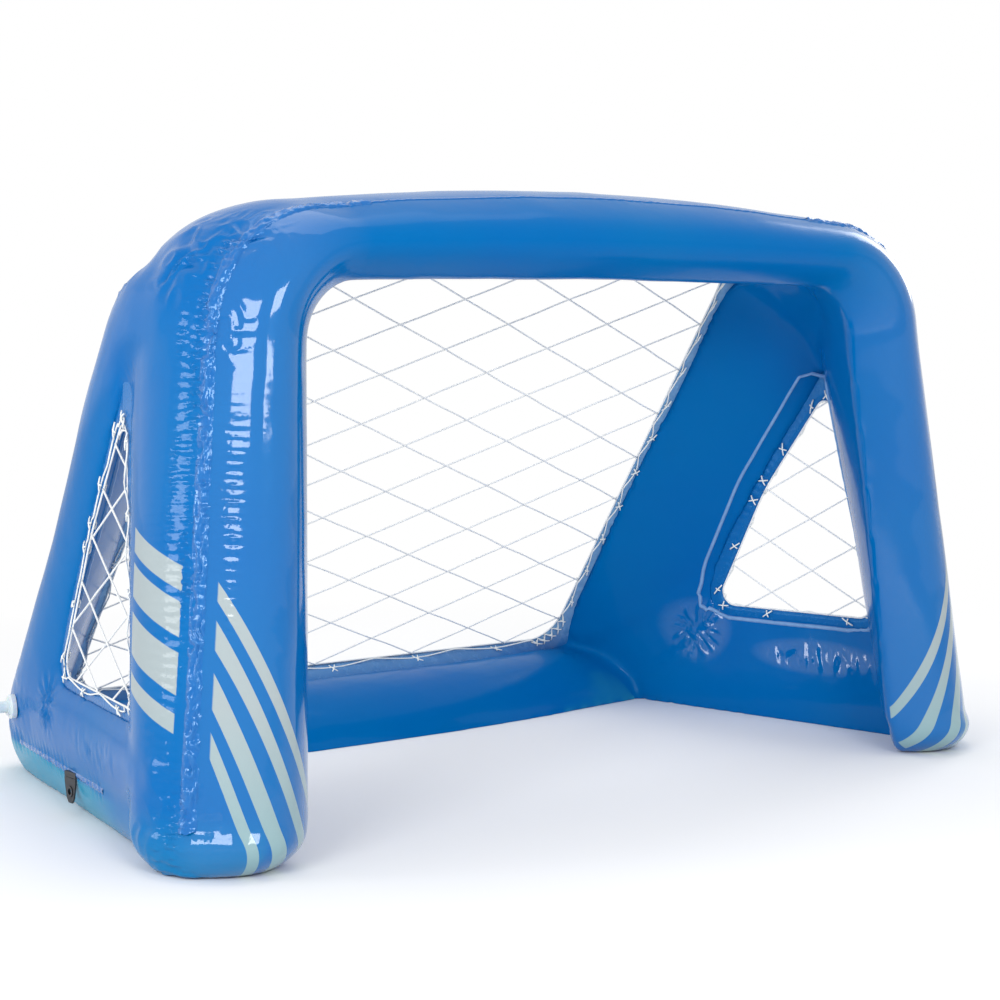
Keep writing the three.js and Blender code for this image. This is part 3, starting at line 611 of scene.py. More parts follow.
def add_piece(name, nodes, slot, points, faces, material):
    """A piece of the goal, from points of the plan, that stands for the nodes named."""
    made = mesh_object(name, in_row(points), faces, material)
    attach(made, "goal")
    if nodes:
        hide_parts(*nodes)
    return made


def mesh_points(mesh):
    points = np.empty(len(mesh.vertices) * 3)
    mesh.vertices.foreach_get("co", points)
    return points.reshape(-1, 3)


arch, arch_front, arch_mouth, arch_rear = arch_rings()
side, side_outer, side_window, side_inner = side_rings()
rear, rear_outer, rear_window, rear_sole = rear_rings()


def inflated_film():
    """One skin over all the tubes: joined and evened."""
    points, faces = [], []
    base = 0
    for rings in (arch, side, side * MIRROR, rear):
        p, f = tube_mesh(rings)
        points.append(p)
        faces += [[v + base for v in face] for face in f]
        base += len(p)
    rough = mesh_object("rough_film", np.concatenate(points), faces)
    bm = bmesh.new()
    bm.from_mesh(rough.data)
    bmesh.ops.recalc_face_normals(bm, faces=bm.faces)
    bm.to_mesh(rough.data)
    bm.free()
    remesh = rough.modifiers.new("remesh", "REMESH")
    remesh.mode = "VOXEL"
    remesh.voxel_size = VOXEL
    dg = bpy.context.evaluated_depsgraph_get()
    even = bpy.data.meshes.new_from_object(rough.evaluated_get(dg))
    p = mesh_points(even)
    quads = np.array([list(f.vertices) for f in even.polygons], np.int64)
    bpy.data.objects.remove(rough)
    bpy.data.meshes.remove(even)
    return p, quads


def edges_of(faces):
    """Each edge once, from faces of equal or mixed length."""
    pairs = np.concatenate([np.stack([faces[:, k], np.roll(faces, -1, 1)[:, k]], 1)
                            for k in range(faces.shape[1])])
    return np.unique(np.sort(pairs, 1), axis=0)


def relax(points, edges, turns, weight=None):
    """Moves each point half way to the middle of its neighbours, or less by its weight."""
    count = len(points)
    a, b = edges.T
    degree = np.bincount(a, minlength=count) + np.bincount(b, minlength=count)
    for _ in range(turns):
        total = np.stack([
            np.bincount(a, points[b, k], count) + np.bincount(b, points[a, k], count)
            for k in range(3)], 1)
        step = (total / degree[:, None] - points) * 0.5
        points = points + (step if weight is None else step * weight[:, None])
    return points


def normals_of(points, triangles):
    a, b, c = (points[triangles[:, k]] for k in range(3))
    face = np.cross(b - a, c - a)
    total = np.stack([
        sum(np.bincount(triangles[:, k], face[:, axis], len(points)) for k in range(3))
        for axis in range(3)], 1)
    return unit(total)


def seam_place(points, line, reach):
    """Distance to a line of points and place along it, far away where beyond reach."""
    step = np.linalg.norm(np.diff(line, axis=0), axis=1)
    along = np.concatenate([[0], np.cumsum(step)])
    spots = np.arange(0, along[-1], 0.004)
    dense = np.stack([np.interp(spots, along, line[:, k]) for k in range(3)], 1)
    low, high = dense.min(0) - reach, dense.max(0) + reach
    near = np.where(((points > low) & (points < high)).all(1))[0]
    distance = np.full(len(points), 9.0)
    place = np.zeros(len(points))
    coarse = dense[::8]
    for start in range(0, len(near), 20000):
        chunk = near[start:start + 20000]
        p = points[chunk]
        gap = ((p[:, None] - coarse[None]) ** 2).sum(2).min(1)
        close = chunk[gap < (reach + 0.035) ** 2]
        if not len(close):
            continue
        q = points[close]
        full = ((q[:, None] - dense[None]) ** 2).sum(2)
        nearest = full.argmin(1)
        distance[close] = np.sqrt(full[np.arange(len(close)), nearest])
        place[close] = spots[nearest]
    return distance, place


# The film's skin, smoothed all over and then more where tubes join
EVEN_TURNS, JOIN_TURNS = ((10, 60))
JOINS = ((0.440, 0.640, 0.045, 0.13), (0.585, 0.290, 0.640, 0.12))  # x, y, z, reach
points, quads = inflated_film()
seams = edges_of(quads)
points = relax(points, seams, EVEN_TURNS)
joins = np.zeros(len(points))
for x, y, z, reach in JOINS:
    gap = np.linalg.norm(points * np.where(points[:, :1] < 0, MIRROR, 1.0) - (x, y, z), axis=1)
    joins = np.maximum(joins, smooth_step(0, 1, 1 - gap / reach))
points = relax(points, seams, JOIN_TURNS, joins)


def refine(points, quads, chosen):
    """Splits the chosen quads in four; their neighbours take the new points on their edges."""
    pairs = np.stack([quads[chosen], np.roll(quads[chosen], -1, 1)], 2).reshape(-1, 2)
    keys = np.sort(pairs, 1)
    made, index = np.unique(keys, axis=0, return_inverse=True)
    index = index.reshape(-1, 4)
    middles = points[made].mean(1)
    centres = points[quads[chosen]].mean(1)
    base = len(points)
    centre_at = base + len(made) + np.arange(len(centres))
    corner = quads[chosen]
    fine = [np.stack([corner[:, k], base + index[:, k], centre_at, base + index[:, k - 1]], 1)
            for k in range(4)]
    fine = np.concatenate(fine)
    lookup = {(int(a), int(b)): base + i for i, (a, b) in enumerate(made)}
    edge_points = np.zeros(base, bool)
    edge_points[made.ravel()] = True
    others = quads[~chosen]
    touched = edge_points[others].sum(1) >= 2
    plain = others[~touched]
    mixed, kept = [], []
    for face in others[touched]:
        out = []
        for k in range(4):
            a, b = int(face[k]), int(face[(k + 1) % 4])
            out.append(a)
            new = lookup.get((min(a, b), max(a, b)))
            if new is not None:
                out.append(new)
        (kept if len(out) == 4 else mixed).append(out)
    plain = np.concatenate([plain, np.array(kept, np.int64).reshape(-1, 4), fine])
    return np.concatenate([points, middles, centres]), plain, mixed


def both(line):
    """A line on the right side and its mirror on the left."""
    return [line, line * MIRROR]


def across_middle(line):
    """A line that ends at the middle, carried on over the other half."""
    return np.concatenate([line, (line * MIRROR)[-2::-1]])


whole_front = across_middle(arch_front)
posts = arch_front[arch_front[:, 2] < 0.74]
slopes = side_outer[side_outer[:, 1] > 0.30]
POST_REACH = 0.105
SPLIT_REACH = 0.02
PLEATED = []  # line, reach, height, pitch, seed
for k, line in enumerate(both(posts)):
    PLEATED.append((line, POST_REACH, 0.0007, 0.0125, 40 + k))
PLEATED.append((whole_front[whole_front[:, 2] > 0.60], 0.020, 0.0006, 0.016, 50))
for k, line in enumerate(both(slopes)):
    PLEATED.append((line, 0.030, 0.0009, 0.017, 60 + k))
for k, line in enumerate(both(side_window)):
    PLEATED.append((line, 0.020, 0.0008, 0.011, 70 + k))
PLEATED.append((rear_window, 0.022, 0.0008, 0.012, 80))

ngons = []
centres = points[quads].mean(1)
chosen = np.zeros(len(quads), bool)
fine_lines = [(line, POST_REACH) for line in both(posts)]
fine_lines += [(line, SPLIT_REACH) for line in both(slopes)]
for line, reach in fine_lines:
    distance, _ = seam_place(centres, line, reach)
    chosen |= distance < reach
points, quads, ngons = refine(points, quads, chosen)


def as_triangles(quads, ngons):
    """The skin's faces as triangles, for its normals and for finding places on it."""
    parts = [quads[:, [0, 1, 2]], quads[:, [0, 2, 3]]]
    parts += [np.array([[f[0], f[k], f[k + 1]] for f in ngons for k in range(1, len(f) - 1)],
                       np.int64).reshape(-1, 3)]
    return np.concatenate(parts)


triangles = as_triangles(quads, ngons)
normals = normals_of(points, triangles)


def past_seam(p, side=1):
    """1 behind the arch's front seam and 0 before it, or the other way round for side -1."""
    t = clamp01(p[:, 2] / (ARCH_HEIGHT - ARCH["outer_radius"]))
    behind = p[:, 1] - ARCH["front_bulge"] - ARCH_LEAN * t
    return smooth_step(0.001, 0.009, behind * side)


def crumpled(points):
    """How far the film stands out of its smooth shape at each point."""
    lift = noise(points, 0.11, 1) * 0.0012 + noise(points, 0.045, 2) * 0.0005
    for line, reach, height, pitch, seed in PLEATED:
        distance, place = seam_place(points, line, reach)
        near = distance < reach
        d = distance[near]
        fade = np.exp(-((d / (reach * 0.52)) ** 2)) * smooth_step(0, 0.004, reach - d)
        if reach == POST_REACH:
            fade = fade * (0.25 + 0.75 * past_seam(points[near]))
        lift[near] += height * fade * pleats(place[near], d, pitch, seed)
    for k, line in enumerate(both(posts)):
        lift += dashed(points, line, 200 + k)
    for centre, reach, height, rays in STARS:
        gap = np.linalg.norm(points - np.array(centre), axis=1)
        near = gap < reach
        p = points[near] - np.array(centre)
        turn = np.arctan2(p[:, 2], p[:, 1]) + 0.25 * noise(p, 0.02, rays)
        ring = smooth_step(0.006, 0.016, gap[near]) * smooth_step(reach, reach * 0.45, gap[near])
        lift[near] += height * ring * np.maximum(np.sin(turn * rays), -0.4)
    for centre, reach, height, size, stretch, seed in CRUMPLES:
        gap = np.linalg.norm((points - np.array(centre)) * (1, stretch ** -0.5, stretch), axis=1)
        near = gap < reach
        p = points[near] * (1, 1, 1 / stretch)
        creases = 1 - 2.2 * np.abs(noise(p + noise(p, size * 2, seed + 5)[:, None] * size,
                                         size, seed))
        lift[near] += height * creases * smooth_step(0, 1, 1 - gap[near] / reach)
    return lift


# Columns of tucks: distance from the seam, half width, side of the seam, height
DASH_COLUMNS = ((0.020, 0.0075, 1, 0.0020), (0.045, 0.0065, 1, 0.0017), (0.038, 0.0085, -1, 0.0014))
DASH_REACH = 0.075
DASH_PITCH = 0.0108


def dashed(points, line, seed):
    """Short tucks beside a post's seam: two columns on its outer face, a short one before it."""
    distance, place = seam_place(points, line, DASH_REACH)
    near = distance < DASH_REACH
    p, d, s = points[near], distance[near], place[near]
    lift = np.zeros(len(points))
    total = np.zeros(len(p))
    for column, (centre, half, side, height) in enumerate(DASH_COLUMNS):
        where = np.stack([s, s * 0 + column * 0.05], 1)
        wave = np.sin(2 * np.pi * (s / DASH_PITCH + 0.5 * noise(where, 0.05, seed + column)))
        patch = (0.45 + 1.1 * noise(where, 0.07, seed + 7 + column)).clip(0, 1)
        drift = centre + 0.004 * noise(where, 0.03, seed + 13 + column)
        face = past_seam(p, side)
        if side < 0:
            face = face * smooth_step(0.26, 0.33, p[:, 2]) * smooth_step(0.56, 0.50, p[:, 2])
        total += (height * patch * face * np.maximum(wave, -0.35)
                  * np.exp(-(((d - drift) / half) ** 2)))
    lift[near] = total
    return lift


STARS = []  # centre, reach, height, rays
CRUMPLES = []  # centre, reach, height, size of the creases, stretch upwards, seed
for sign in (-1, 1):
    for x, y, z, reach, height, size, stretch in (
        (0.592, 0.190, 0.725, 0.090, 0.0042, 0.022, 1),
        (0.560, 0.130, 0.745, 0.085, 0.0026, 0.016, 1),
        (0.628, 0.085, 0.640, 0.075, 0.0026, 0.014, 1),
        (0.455, 0.735, 0.085, 0.055, 0.0016, 0.011, 1),
        (0.617, 0.320, 0.105, 0.095, 0.0014, 0.009, 3),
        (0.650, 0.110, 0.060, 0.110, 0.0018, 0.024, 1),
        (0.600, 0.700, 0.100, 0.090, 0.0012, 0.020, 1),
        (0.545, 0.330, 0.700, 0.090, 0.0014, 0.024, 1),
    ):
        CRUMPLES.append(((sign * x, y, z), reach, height, size, stretch, int(x * 1000) + sign))
    STARS.append(((sign * 0.580, 0.548, 0.128), 0.055, 0.0022, 13))

points = points + normals * crumpled(points)[:, None]
points[:, 2] = np.maximum(points[:, 2], 0.0)
normals = normals_of(points, triangles)
film_tree = BVHTree.FromPolygons([Vector(p) for p in points], triangles.tolist())

# The skin in the frame's lengths of tube, each standing for its node
CUT = dict(bar_x=0.400, bar_z=0.600, head_z=0.500, foot_z=0.190, post_y=0.296, foot_y=FOOT_CUT,
           heel_y=0.520, rear_x=0.440)


def length_of(p):
    """Name of the length of tube that a point is on."""
    c = CUT
    x, y, z = np.abs(p[:, 0]), p[:, 1], p[:, 2]
    name = np.full(len(p), "rear_tube", dtype=object)
    side_name = np.where(p[:, 0] > 0, "_r", "_l")
    low = z < c["foot_z"]
    out = x > c["rear_x"]
    for test, kind in (
        (low & out & (y >= c["heel_y"]), "rear_corner"),
        (low & out & (y < c["heel_y"]), "floor_tube"),
        (low & out & (y < c["foot_y"]), "foot"),
        (~low & (z < c["head_z"]) & (y < c["post_y"]), "post"),
        (~low & (z < c["head_z"]) & (y >= c["post_y"]), "diagonal"),
        ((z >= c["head_z"]) & (y < c["post_y"]), "top_corner"),
        ((z >= c["head_z"]) & (y >= c["post_y"]), "shoulder"),
    ):
        name = np.where(test, np.char.add(kind, side_name.astype(str)).astype(object), name)
    return np.where((z >= c["bar_z"]) & (x < c["bar_x"]), "crossbar", name)


def film_pieces():
    """The skin's lengths as separate pieces that share the whole skin's normals."""
    labels = np.concatenate([
        length_of(points[quads].mean(1)),
        length_of(np.array([points[f].mean(0) for f in ngons]).reshape(-1, 3))
        if ngons else np.array([], object)])
    faces = [list(q) for q in quads] + [list(f) for f in ngons]
    for name in sorted(set(labels)):
        own = [faces[i] for i in np.where(labels == name)[0]]
        used = np.unique(np.concatenate([np.array(f) for f in own]))
        index = {int(v): i for i, v in enumerate(used)}
        piece = add_piece("film_" + name, [name], "film", points[used],
                          [[index[int(v)] for v in f] for f in own], FILM)
        piece.data.normals_split_custom_set_from_vertices([tuple(n) for n in normals[used]])


film_pieces()


# Weld strips: thin bands of film that follow the seams, with pleats of their own


def on_film(point):
    """The nearest point on the film, and the film's normal there."""
    spot, normal, _, _ = film_tree.find_nearest(Vector(point))
    return np.array(spot), np.array(normal)


WELDS = dict(
    front=dict(widths=(0.015, 0.018), lift=0.0026, height=0.0005, pitch=0.012, rough=0.0021,
               step=0.0015, rows=17),
    bar=dict(widths=(0.005, 0.004), lift=0.0012, height=0.0002, pitch=0.014),
    edge=dict(widths=(0.007, 0.007), lift=0.0010, height=0.0006, pitch=0.012, rough=0.0006),
    bead=dict(widths=(0.004, 0.004), lift=0.0028, height=0.0003, pitch=0.020),
)
WELD_SUNK = 0.0008


def seam_band(name, nodes, line, inwards, seed, widths, lift, height, pitch, step=0.002,
              rows=9, rough=0.0, material=WELD):
    """A ribbon over a seam: widths to each side, its edges sunk into the film."""
    lengths = np.linalg.norm(np.diff(line, axis=0), axis=1)
    along = np.concatenate([[0], np.cumsum(lengths)])
    spots = np.arange(0, along[-1], step * (1))
    at = lambda v: np.stack([np.interp(spots, along, v[:, k]) for k in range(3)], 1)
    base, sides = at(line), [unit(at(v)) for v in inwards]
    grid = np.empty((len(spots), rows, 3))
    share = np.linspace(-1, 1, rows)
    for j, t in enumerate(share):
        way, width = (sides[0], widths[0]) if t < 0 else (sides[1], widths[1])
        for i, p in enumerate(base + way * abs(t) * width):
            grid[i, j], _ = on_film(p)
    flat = grid.reshape(-1, 3)
    offs = np.tile(share, len(spots))
    place = np.repeat(spots, rows)
    outward = np.array([on_film(p)[1] for p in flat])
    crown = 1 - np.abs(offs) ** 3
    ripple = pleats(place, offs * 0.03, pitch, seed) * height
    if rough:
        bent = np.stack([place * 0.55, offs * 0.016], 1) + np.stack(
            [noise(flat, 0.016, seed + k) for k in (9, 10)], 1) * 0.006
        creases = np.abs(noise(bent, 0.0085, seed + 8))
        ripple += (0.5 - 2.0 * creases) * rough
    flat = flat + outward * ((lift + ripple) * crown - WELD_SUNK * (1 - crown))[:, None]
    i, j = np.meshgrid(np.arange(len(spots) - 1), np.arange(rows - 1), indexing="ij")
    a = (i * rows + j).ravel()
    faces = np.stack([a, a + 1, a + rows + 1, a + rows], 1)
    add_piece(name, nodes, "weld", flat, faces, material)


SPAN = dict(post_z=0.035, post_x=0.38, bar_x=0.42, slope_y=0.33, slope_z=0.16,
            floor_front_y=0.30, floor_rear_y=0.72, floor_z=0.062)
post_part = (arch_front[:, 2] > SPAN["post_z"]) & (arch_front[:, 0] > SPAN["post_x"])
bar_part = arch_front[:, 0] < SPAN["bar_x"]
for sign, tag in ((1, "r"), (-1, "l")):
    flip = np.array([sign, 1.0, 1.0])
    line = arch_front[post_part] * flip
    seam_band("weld_front_" + tag, ["front_seam_" + tag], line,
              [arch_rear[post_part] * flip - line, arch_mouth[post_part] * flip - line],
              100 + sign, **WELDS["front"])
bar, bar_back, bar_down = (
    across_middle(line[bar_part]) for line in (arch_front, arch_rear, arch_mouth))
seam_band("weld_bar", ["bar_seam"], bar, [bar_back - bar, bar_down - bar], 120, **WELDS["bar"])
_, outer_y, outer_z = side_outer.T
slope_part = (outer_y > SPAN["slope_y"]) & (outer_z > SPAN["slope_z"])
floor_part = ((outer_y > SPAN["floor_front_y"]) & (outer_y < SPAN["floor_rear_y"])
              & (outer_z < SPAN["floor_z"]))
for sign, tag in ((1, "r"), (-1, "l")):
    flip = np.array([sign, 1.0, 1.0])
    for kind, part, seed in (("slope", slope_part, 140), ("floor", floor_part, 160)):
        line = side_outer[part] * flip
        seam_band("weld_%s_%s" % (kind, tag), ["%s_seam_%s" % (kind, tag)], line,
                  [side_inner[part] * flip - line, side_window[part] * flip - line],
                  seed + sign, **WELDS["edge"])


# Windows: nets, hems and lacing

HEM = dict(width=0.015, thickness=0.001, corner_radius=0.012, head_radius=0.084,
           foot_radius=0.062, bend_y=0.424, bend_z=0.372, bend_radius=0.400, apex_y=0.288,
           apex_z=0.556, apex_radius=0.024, side_radius=0.030, buried=0.014, tuck=0.016,
           upright=0.060, side_width=0.007, side_buried=0.038, gusset=0.072,
           sunk=0.002)
BEAD = dict(out=-0.002, inwards=0.050)  # from the side window's limit, and from its plane
NET_CORD_RADIUS = 0.0013
REAR_MESH = dict(a=-0.126, b=0.527, width=0.190, height=0.071)
SIDE_MESH = dict(a=0.257, b=0.491, width=0.153, height=0.083)


def rounded_outline(corners, radii, straight_steps=10, corner_steps=10):
    """A closed outline with rounded corners, in a window's own plane."""
    corners = [np.array(c, float) for c in corners]
    n = len(corners)
    start = (corners[0] + corners[-1]) / 2
    line = bent_line([start, *corners, start], radii, [straight_steps] * (n + 1),
                     [corner_steps] * n)
    return line[:-1]


def inset(outline, d):
    """An outline moved inwards by d."""
    before, after = np.roll(outline, 1, 0), np.roll(outline, -1, 0)
    area = (outline[:, 0] * after[:, 1] - outline[:, 1] * after[:, 0]).sum()
    along = unit(after - before)
    return outline + np.stack([-along[:, 1], along[:, 0]], 1) * d * np.sign(area)


def inner_x(z):
    """The rear window's side edge at a height."""
    t = clamp01((SIDE["roof_z"] - z) / (SIDE["roof_z"] - SIDE["inner_z"]))
    return frame_x(slope_y(z), z) - mix(SIDE["head_rear"], SIDE["foot_rear"], t)


WINDOW_TOP = ARCH_HEIGHT - ARCH["roof_bulge"] - ARCH["rear_drop"]
RISE = slope_y(0.0) - slope_y(1.0)


def rear_place(p, out=0.0):
    """Points of the rear window's plane, moved out along its normal."""
    p = np.atleast_2d(p)
    lift = out / math.hypot(1, RISE)
    return np.stack([p[:, 0], slope_y(p[:, 1]) + lift, p[:, 1] + lift * RISE], 1)


def rear_root(p, out=0.0):
    """Where the rear hem is rooted in the tubes."""
    p = np.atleast_2d(p)
    low = clamp01((WINDOW_TOP - p[:, 1]) / (WINDOW_TOP - REAR["window_z"]))
    bow = REAR["bow"] * low * (1 - np.minimum(1, (p[:, 0] / REAR["half_span"]) ** 2))
    tuck = HEM["tuck"] * clamp01(1 + (REAR["window_z"] - p[:, 1]) / HEM["upright"])
    return rear_place(p, out) - np.stack([bow * 0, bow + tuck, bow * 0], 1)


def rear_gusset(p, out=0.0):
    """The rear hem's root, its head corners reaching out beside the crossbar."""
    p = np.atleast_2d(p)
    high = smooth_step(WINDOW_TOP - 0.120, WINDOW_TOP - 0.020, p[:, 1])
    wide = smooth_step(-0.050, 0.010, np.abs(p[:, 0]) - inner_x(WINDOW_TOP))
    reach = np.sign(p[:, 0]) * HEM["gusset"] * high * wide
    return rear_root(p, out) + np.stack([reach, reach * 0, reach * 0], 1)


def sunk(points, flip):
    """Points that stand free of the film, moved to just under its surface."""
    moved = []
    for p in points * flip:
        spot, normal = on_film(p)
        deep = (p - spot) @ normal
        moved.append(p if deep < -HEM["sunk"] else spot - normal * HEM["sunk"])
    return np.array(moved) * flip


rear_corners = [
    (inner_x(WINDOW_TOP), WINDOW_TOP), (-inner_x(WINDOW_TOP), WINDOW_TOP),
    (-inner_x(REAR["window_z"]), REAR["window_z"]), (inner_x(REAR["window_z"]), REAR["window_z"])]
post_back = mix(ARCH["foot_depth"], ARCH_LEAN + ARCH["head_depth"], SIDE["window_z"] / ARCH_HEIGHT)
side_corners = [
    (post_back, SIDE["window_z"]), (SIDE["window_foot_y"] - SIDE["window_bow"], SIDE["window_z"]),
    (HEM["bend_y"], HEM["bend_z"]), (HEM["apex_y"], HEM["apex_z"])]


def on_side(p):
    """Points of a side's own curved face."""
    p = np.atleast_2d(p)
    return np.stack([frame_x(p[:, 0], p[:, 1]) - SIDE["inset"], p[:, 0], p[:, 1]], 1)


low_front, low_rear, apex = (on_side(side_corners[k])[0] for k in (0, 1, 3))
side_normal = unit(np.cross(low_rear - low_front, apex - low_front))
side_normal = side_normal * np.sign(side_normal[0])


def side_place(p, out=0.0):
    """Points of a side window's plane, moved out along its normal."""
    p = np.atleast_2d(p)
    a, b, c = side_normal
    x = (side_normal @ low_front - b * p[:, 0] - c * p[:, 1]) / a
    return np.stack([x, p[:, 0], p[:, 1]], 1) + side_normal * out


def side_root(p, out=0.0):
    """Where a side hem is rooted in the tubes."""
    return on_side(p) + side_normal * out


def cord_mesh(paths, radius, sides=8):
    """Points and faces of round cords, each along its own path, open or closed in a ring."""
    all_points, all_faces = [], []
    base = 0
    for path, closed in paths:
        path = np.asarray(path, float)
        if closed:
            along = np.roll(path, -1, 0) - np.roll(path, 1, 0)
        else:
            along = np.gradient(path, axis=0)
        along = unit(along)
        up = np.array([0.13, 0.21, 0.97])
        across = unit(np.cross(along, up))
        other = np.cross(along, across)
        angle = np.linspace(0, 2 * np.pi, sides, endpoint=False)
        ring = (np.cos(angle)[None, :, None] * across[:, None]
                + np.sin(angle)[None, :, None] * other[:, None])
        tube = path[:, None] + ring * radius
        count = len(path)
        all_points.append(tube.reshape(-1, 3))
        bands = count if closed else count - 1
        i, j = np.meshgrid(np.arange(bands), np.arange(sides), indexing="ij")
        a = i * sides + j
        b = i * sides + (j + 1) % sides
        c = ((i + 1) % count) * sides + (j + 1) % sides
        d = ((i + 1) % count) * sides + j
        all_faces += (np.stack([a, b, c, d], -1).reshape(-1, 4) + base).tolist()
        if not closed:
            all_faces.append([base + k for k in range(sides)][::-1])
            all_faces.append([base + (count - 1) * sides + k for k in range(sides)])
        base += count * sides
    return np.concatenate(all_points), all_faces


def inside(outline, p):
    """Whether each point is inside a closed outline."""
    x, y = p[:, 0][:, None], p[:, 1][:, None]
    a, b = outline, np.roll(outline, -1, 0)
    crosses = ((a[:, 1] > y) != (b[:, 1] > y)) & (
        x < (b[:, 0] - a[:, 0]) * (y - a[:, 1]) / (b[:, 1] - a[:, 1] + 1e-15) + a[:, 0])
    return crosses.sum(1) % 2 == 1


def net_strands(outline, mesh):
    """Straight strands of a diamond net in a window's own plane, cut at the outline."""
    low, high = outline.min(0), outline.max(0)
    slope = mesh["height"] / mesh["width"]
    found = []
    for sign in (1, -1):
        reach = (high[1] - low[1]) + slope * (high[0] - low[0])
        first = int(-reach / mesh["height"]) - 2
        for k in range(first, -first + 1):
            u = np.linspace(low[0], high[0], 1600)
            v = mesh["b"] + mesh["height"] * (k + 0.5) + sign * slope * (u - mesh["a"])
            p = np.stack([u, v], 1)
            ok = inside(outline, p)
            if ok.sum() < 6:
                continue
            runs = np.split(np.where(ok)[0], np.where(np.diff(np.where(ok)[0]) > 1)[0] + 1)
            for run in runs:
                if len(run) > 5:
                    found.append((p[run[0]], p[run[-1]], sign))
    return found


def make_net(name, node, place, outline, mesh, flip, seed, width):
    """A net with a crossing weave: one set of strands over the other."""
    edge = inset(outline, width + 0.0015)
    paths = []
    for a, b, sign in net_strands(edge, mesh):
        count = max(6, int(np.linalg.norm(b - a) / 0.010))
        t = np.linspace(0, 1, count)[:, None]
        line = a + (b - a) * t
        wobble = noise(np.concatenate([line, t * 0 + sign], 1), 0.05, seed) * 0.0008
        along = unit(b - a)
        line = line + np.array([-along[1], along[0]]) * wobble[:, None]
        p = place(line, 0.0)
        normal = unit(place(line, 0.01) - p)
        paths.append(((p + normal * 0.0009 * sign) * flip, False))
    border = place(edge, 0.0) * flip
    paths.append((border, True))
    add_piece(name, [node], "cord", *cord_mesh(paths, NET_CORD_RADIUS), NET_CORD)


def make_hem(name, nodes, limit, outline, place, root, flip, seed, material, width, buried):
    """A ribbon of thin film from inside the tubes to the net."""
    outer = inset(limit, -buried)
    inner = inset(outline, width)
    count = len(inner)
    dense = 8
    t = np.arange(count * dense) / dense
    loop = lambda v: np.stack([np.interp(t, np.arange(count + 1), np.append(v[:, k], v[0, k]))
                               for k in range(v.shape[1])], 1)
    outer, inner = loop(outer), loop(inner)
    length = np.concatenate([[0], np.cumsum(np.linalg.norm(np.diff(inner, axis=0), axis=1))])
    rows = 7
    edge = place(inner, 0.0)
    base = sunk(root(outer, 0.0), flip)
    along = np.roll(edge, -1, 0) - np.roll(edge, 1, 0)
    normal = unit(np.cross(along, base - edge))
    grid = []
    for k in range(rows):
        share = k / (rows - 1)
        p = mix(base, edge, share)
        ripple = pleats(length, length * 0 + share * 0.01, 0.013, seed) * 0.0007 * share
        grid.append(p + normal * (ripple + HEM["thickness"] / 2)[:, None])
    front = np.stack(grid, 1)
    back = front - normal[:, None] * HEM["thickness"]
    ring = np.concatenate([front, back[:, ::-1]], 1)
    total, n = ring.shape[:2]
    i, j = np.meshgrid(np.arange(total), np.arange(n), indexing="ij")
    a, b = i * n + j, i * n + (j + 1) % n
    c, d = ((i + 1) % total) * n + (j + 1) % n, ((i + 1) % total) * n + j
    faces = np.stack([a, b, c, d], -1).reshape(-1, 4)
    add_piece(name, nodes, "weld", ring.reshape(-1, 3) * flip, faces, material)


LACING = dict(pitch=0.066, radius=0.0011, sides=7, steps=10, reach=0.008, knot_half=0.0085,
              knot_lift=0.0032, knot_angle=0.9, knot_bow=0.0016)


def make_lacing(name, node, limit, outline, place, root, flip, sense, width, both_faces=False):
    """A cord that spirals through the hem and round the net's border, with a knot at each tie."""
    c = LACING
    hem_edge = inset(outline, width)
    hem_foot = inset(limit, -HEM["buried"])
    border = inset(outline, width + 0.0030)
    count = len(border)

    def along(v, s):
        at = (s % 1.0) * count
        i = int(at)
        return mix(v[i % count], v[(i + 1) % count], at - i)

    length = np.linalg.norm(np.roll(border, -1, 0) - border, axis=1).sum()
    turns = int(round(length / c["pitch"]))
    paths = []
    points = []
    steps = c["steps"]
    for i in range(turns * steps):
        s = i / (turns * steps)
        phase = (i % steps) / steps
        swing = 0.5 - 0.5 * math.cos(2 * math.pi * phase)
        b = place(along(border, s), 0.0)[0]
        e = place(along(hem_edge, s), 0.0)[0]
        normal = unit(place(along(border, s), 0.01)[0] - b) * sense
        out = unit(root(along(hem_foot, s), 0.0)[0] - e)
        over = normal * (0.0030 * math.cos(2 * math.pi * phase) * 0.4 + 0.0028)
        points.append(mix(b, e + out * c["reach"], swing ** 0.7) + over)
        if i % steps == steps // 2:
            way = unit(place(along(border, s + 0.002), 0.0)[0] - b)
            for face in (normal, -normal) if both_faces else (normal,):
                knot = e + out * c["reach"] + face * c["knot_lift"]
                for angle in (c["knot_angle"], -c["knot_angle"]):
                    tilt = way * math.cos(angle) + out * math.sin(angle)
                    ends = np.linspace(-c["knot_half"], c["knot_half"], 7)[:, None]
                    bow = face * (c["knot_bow"] * (1 - (ends / c["knot_half"]) ** 2))
                    paths.append(((knot + tilt * ends + bow) * flip, False))
    paths.append((np.array(points) * flip, True))
    add_piece(name, [node], "cord", *cord_mesh(paths, c["radius"], c["sides"]), TIE_CORD)


def window_bead(name, flip, seed):
    """A raised weld line round a side window, on the tubes' inner faces."""
    width = WELDS["bead"]["widths"][0]
    rings = [side_place(inset(side_limit, -BEAD["out"] + step)) for step in (0.0, -width, width)]
    closed = [np.concatenate([ring, ring[:1]]) * flip for ring in rings]
    start = closed[0] - np.array([BEAD["inwards"], 0.0, 0.0]) * flip
    line = np.array([on_film(p)[0] for p in start])
    # The bead's pale colour is a painted highlight along it
    seam_band(name, [], line, [closed[1] - closed[0], closed[2] - closed[0]], seed,
              material=BEAD_HIGHLIGHT_WELD, **WELDS["bead"])


def hem_radii(*kinds):
    """Corner radii of an outline, by their names."""
    return [HEM[kind + "_radius"] for kind in kinds]


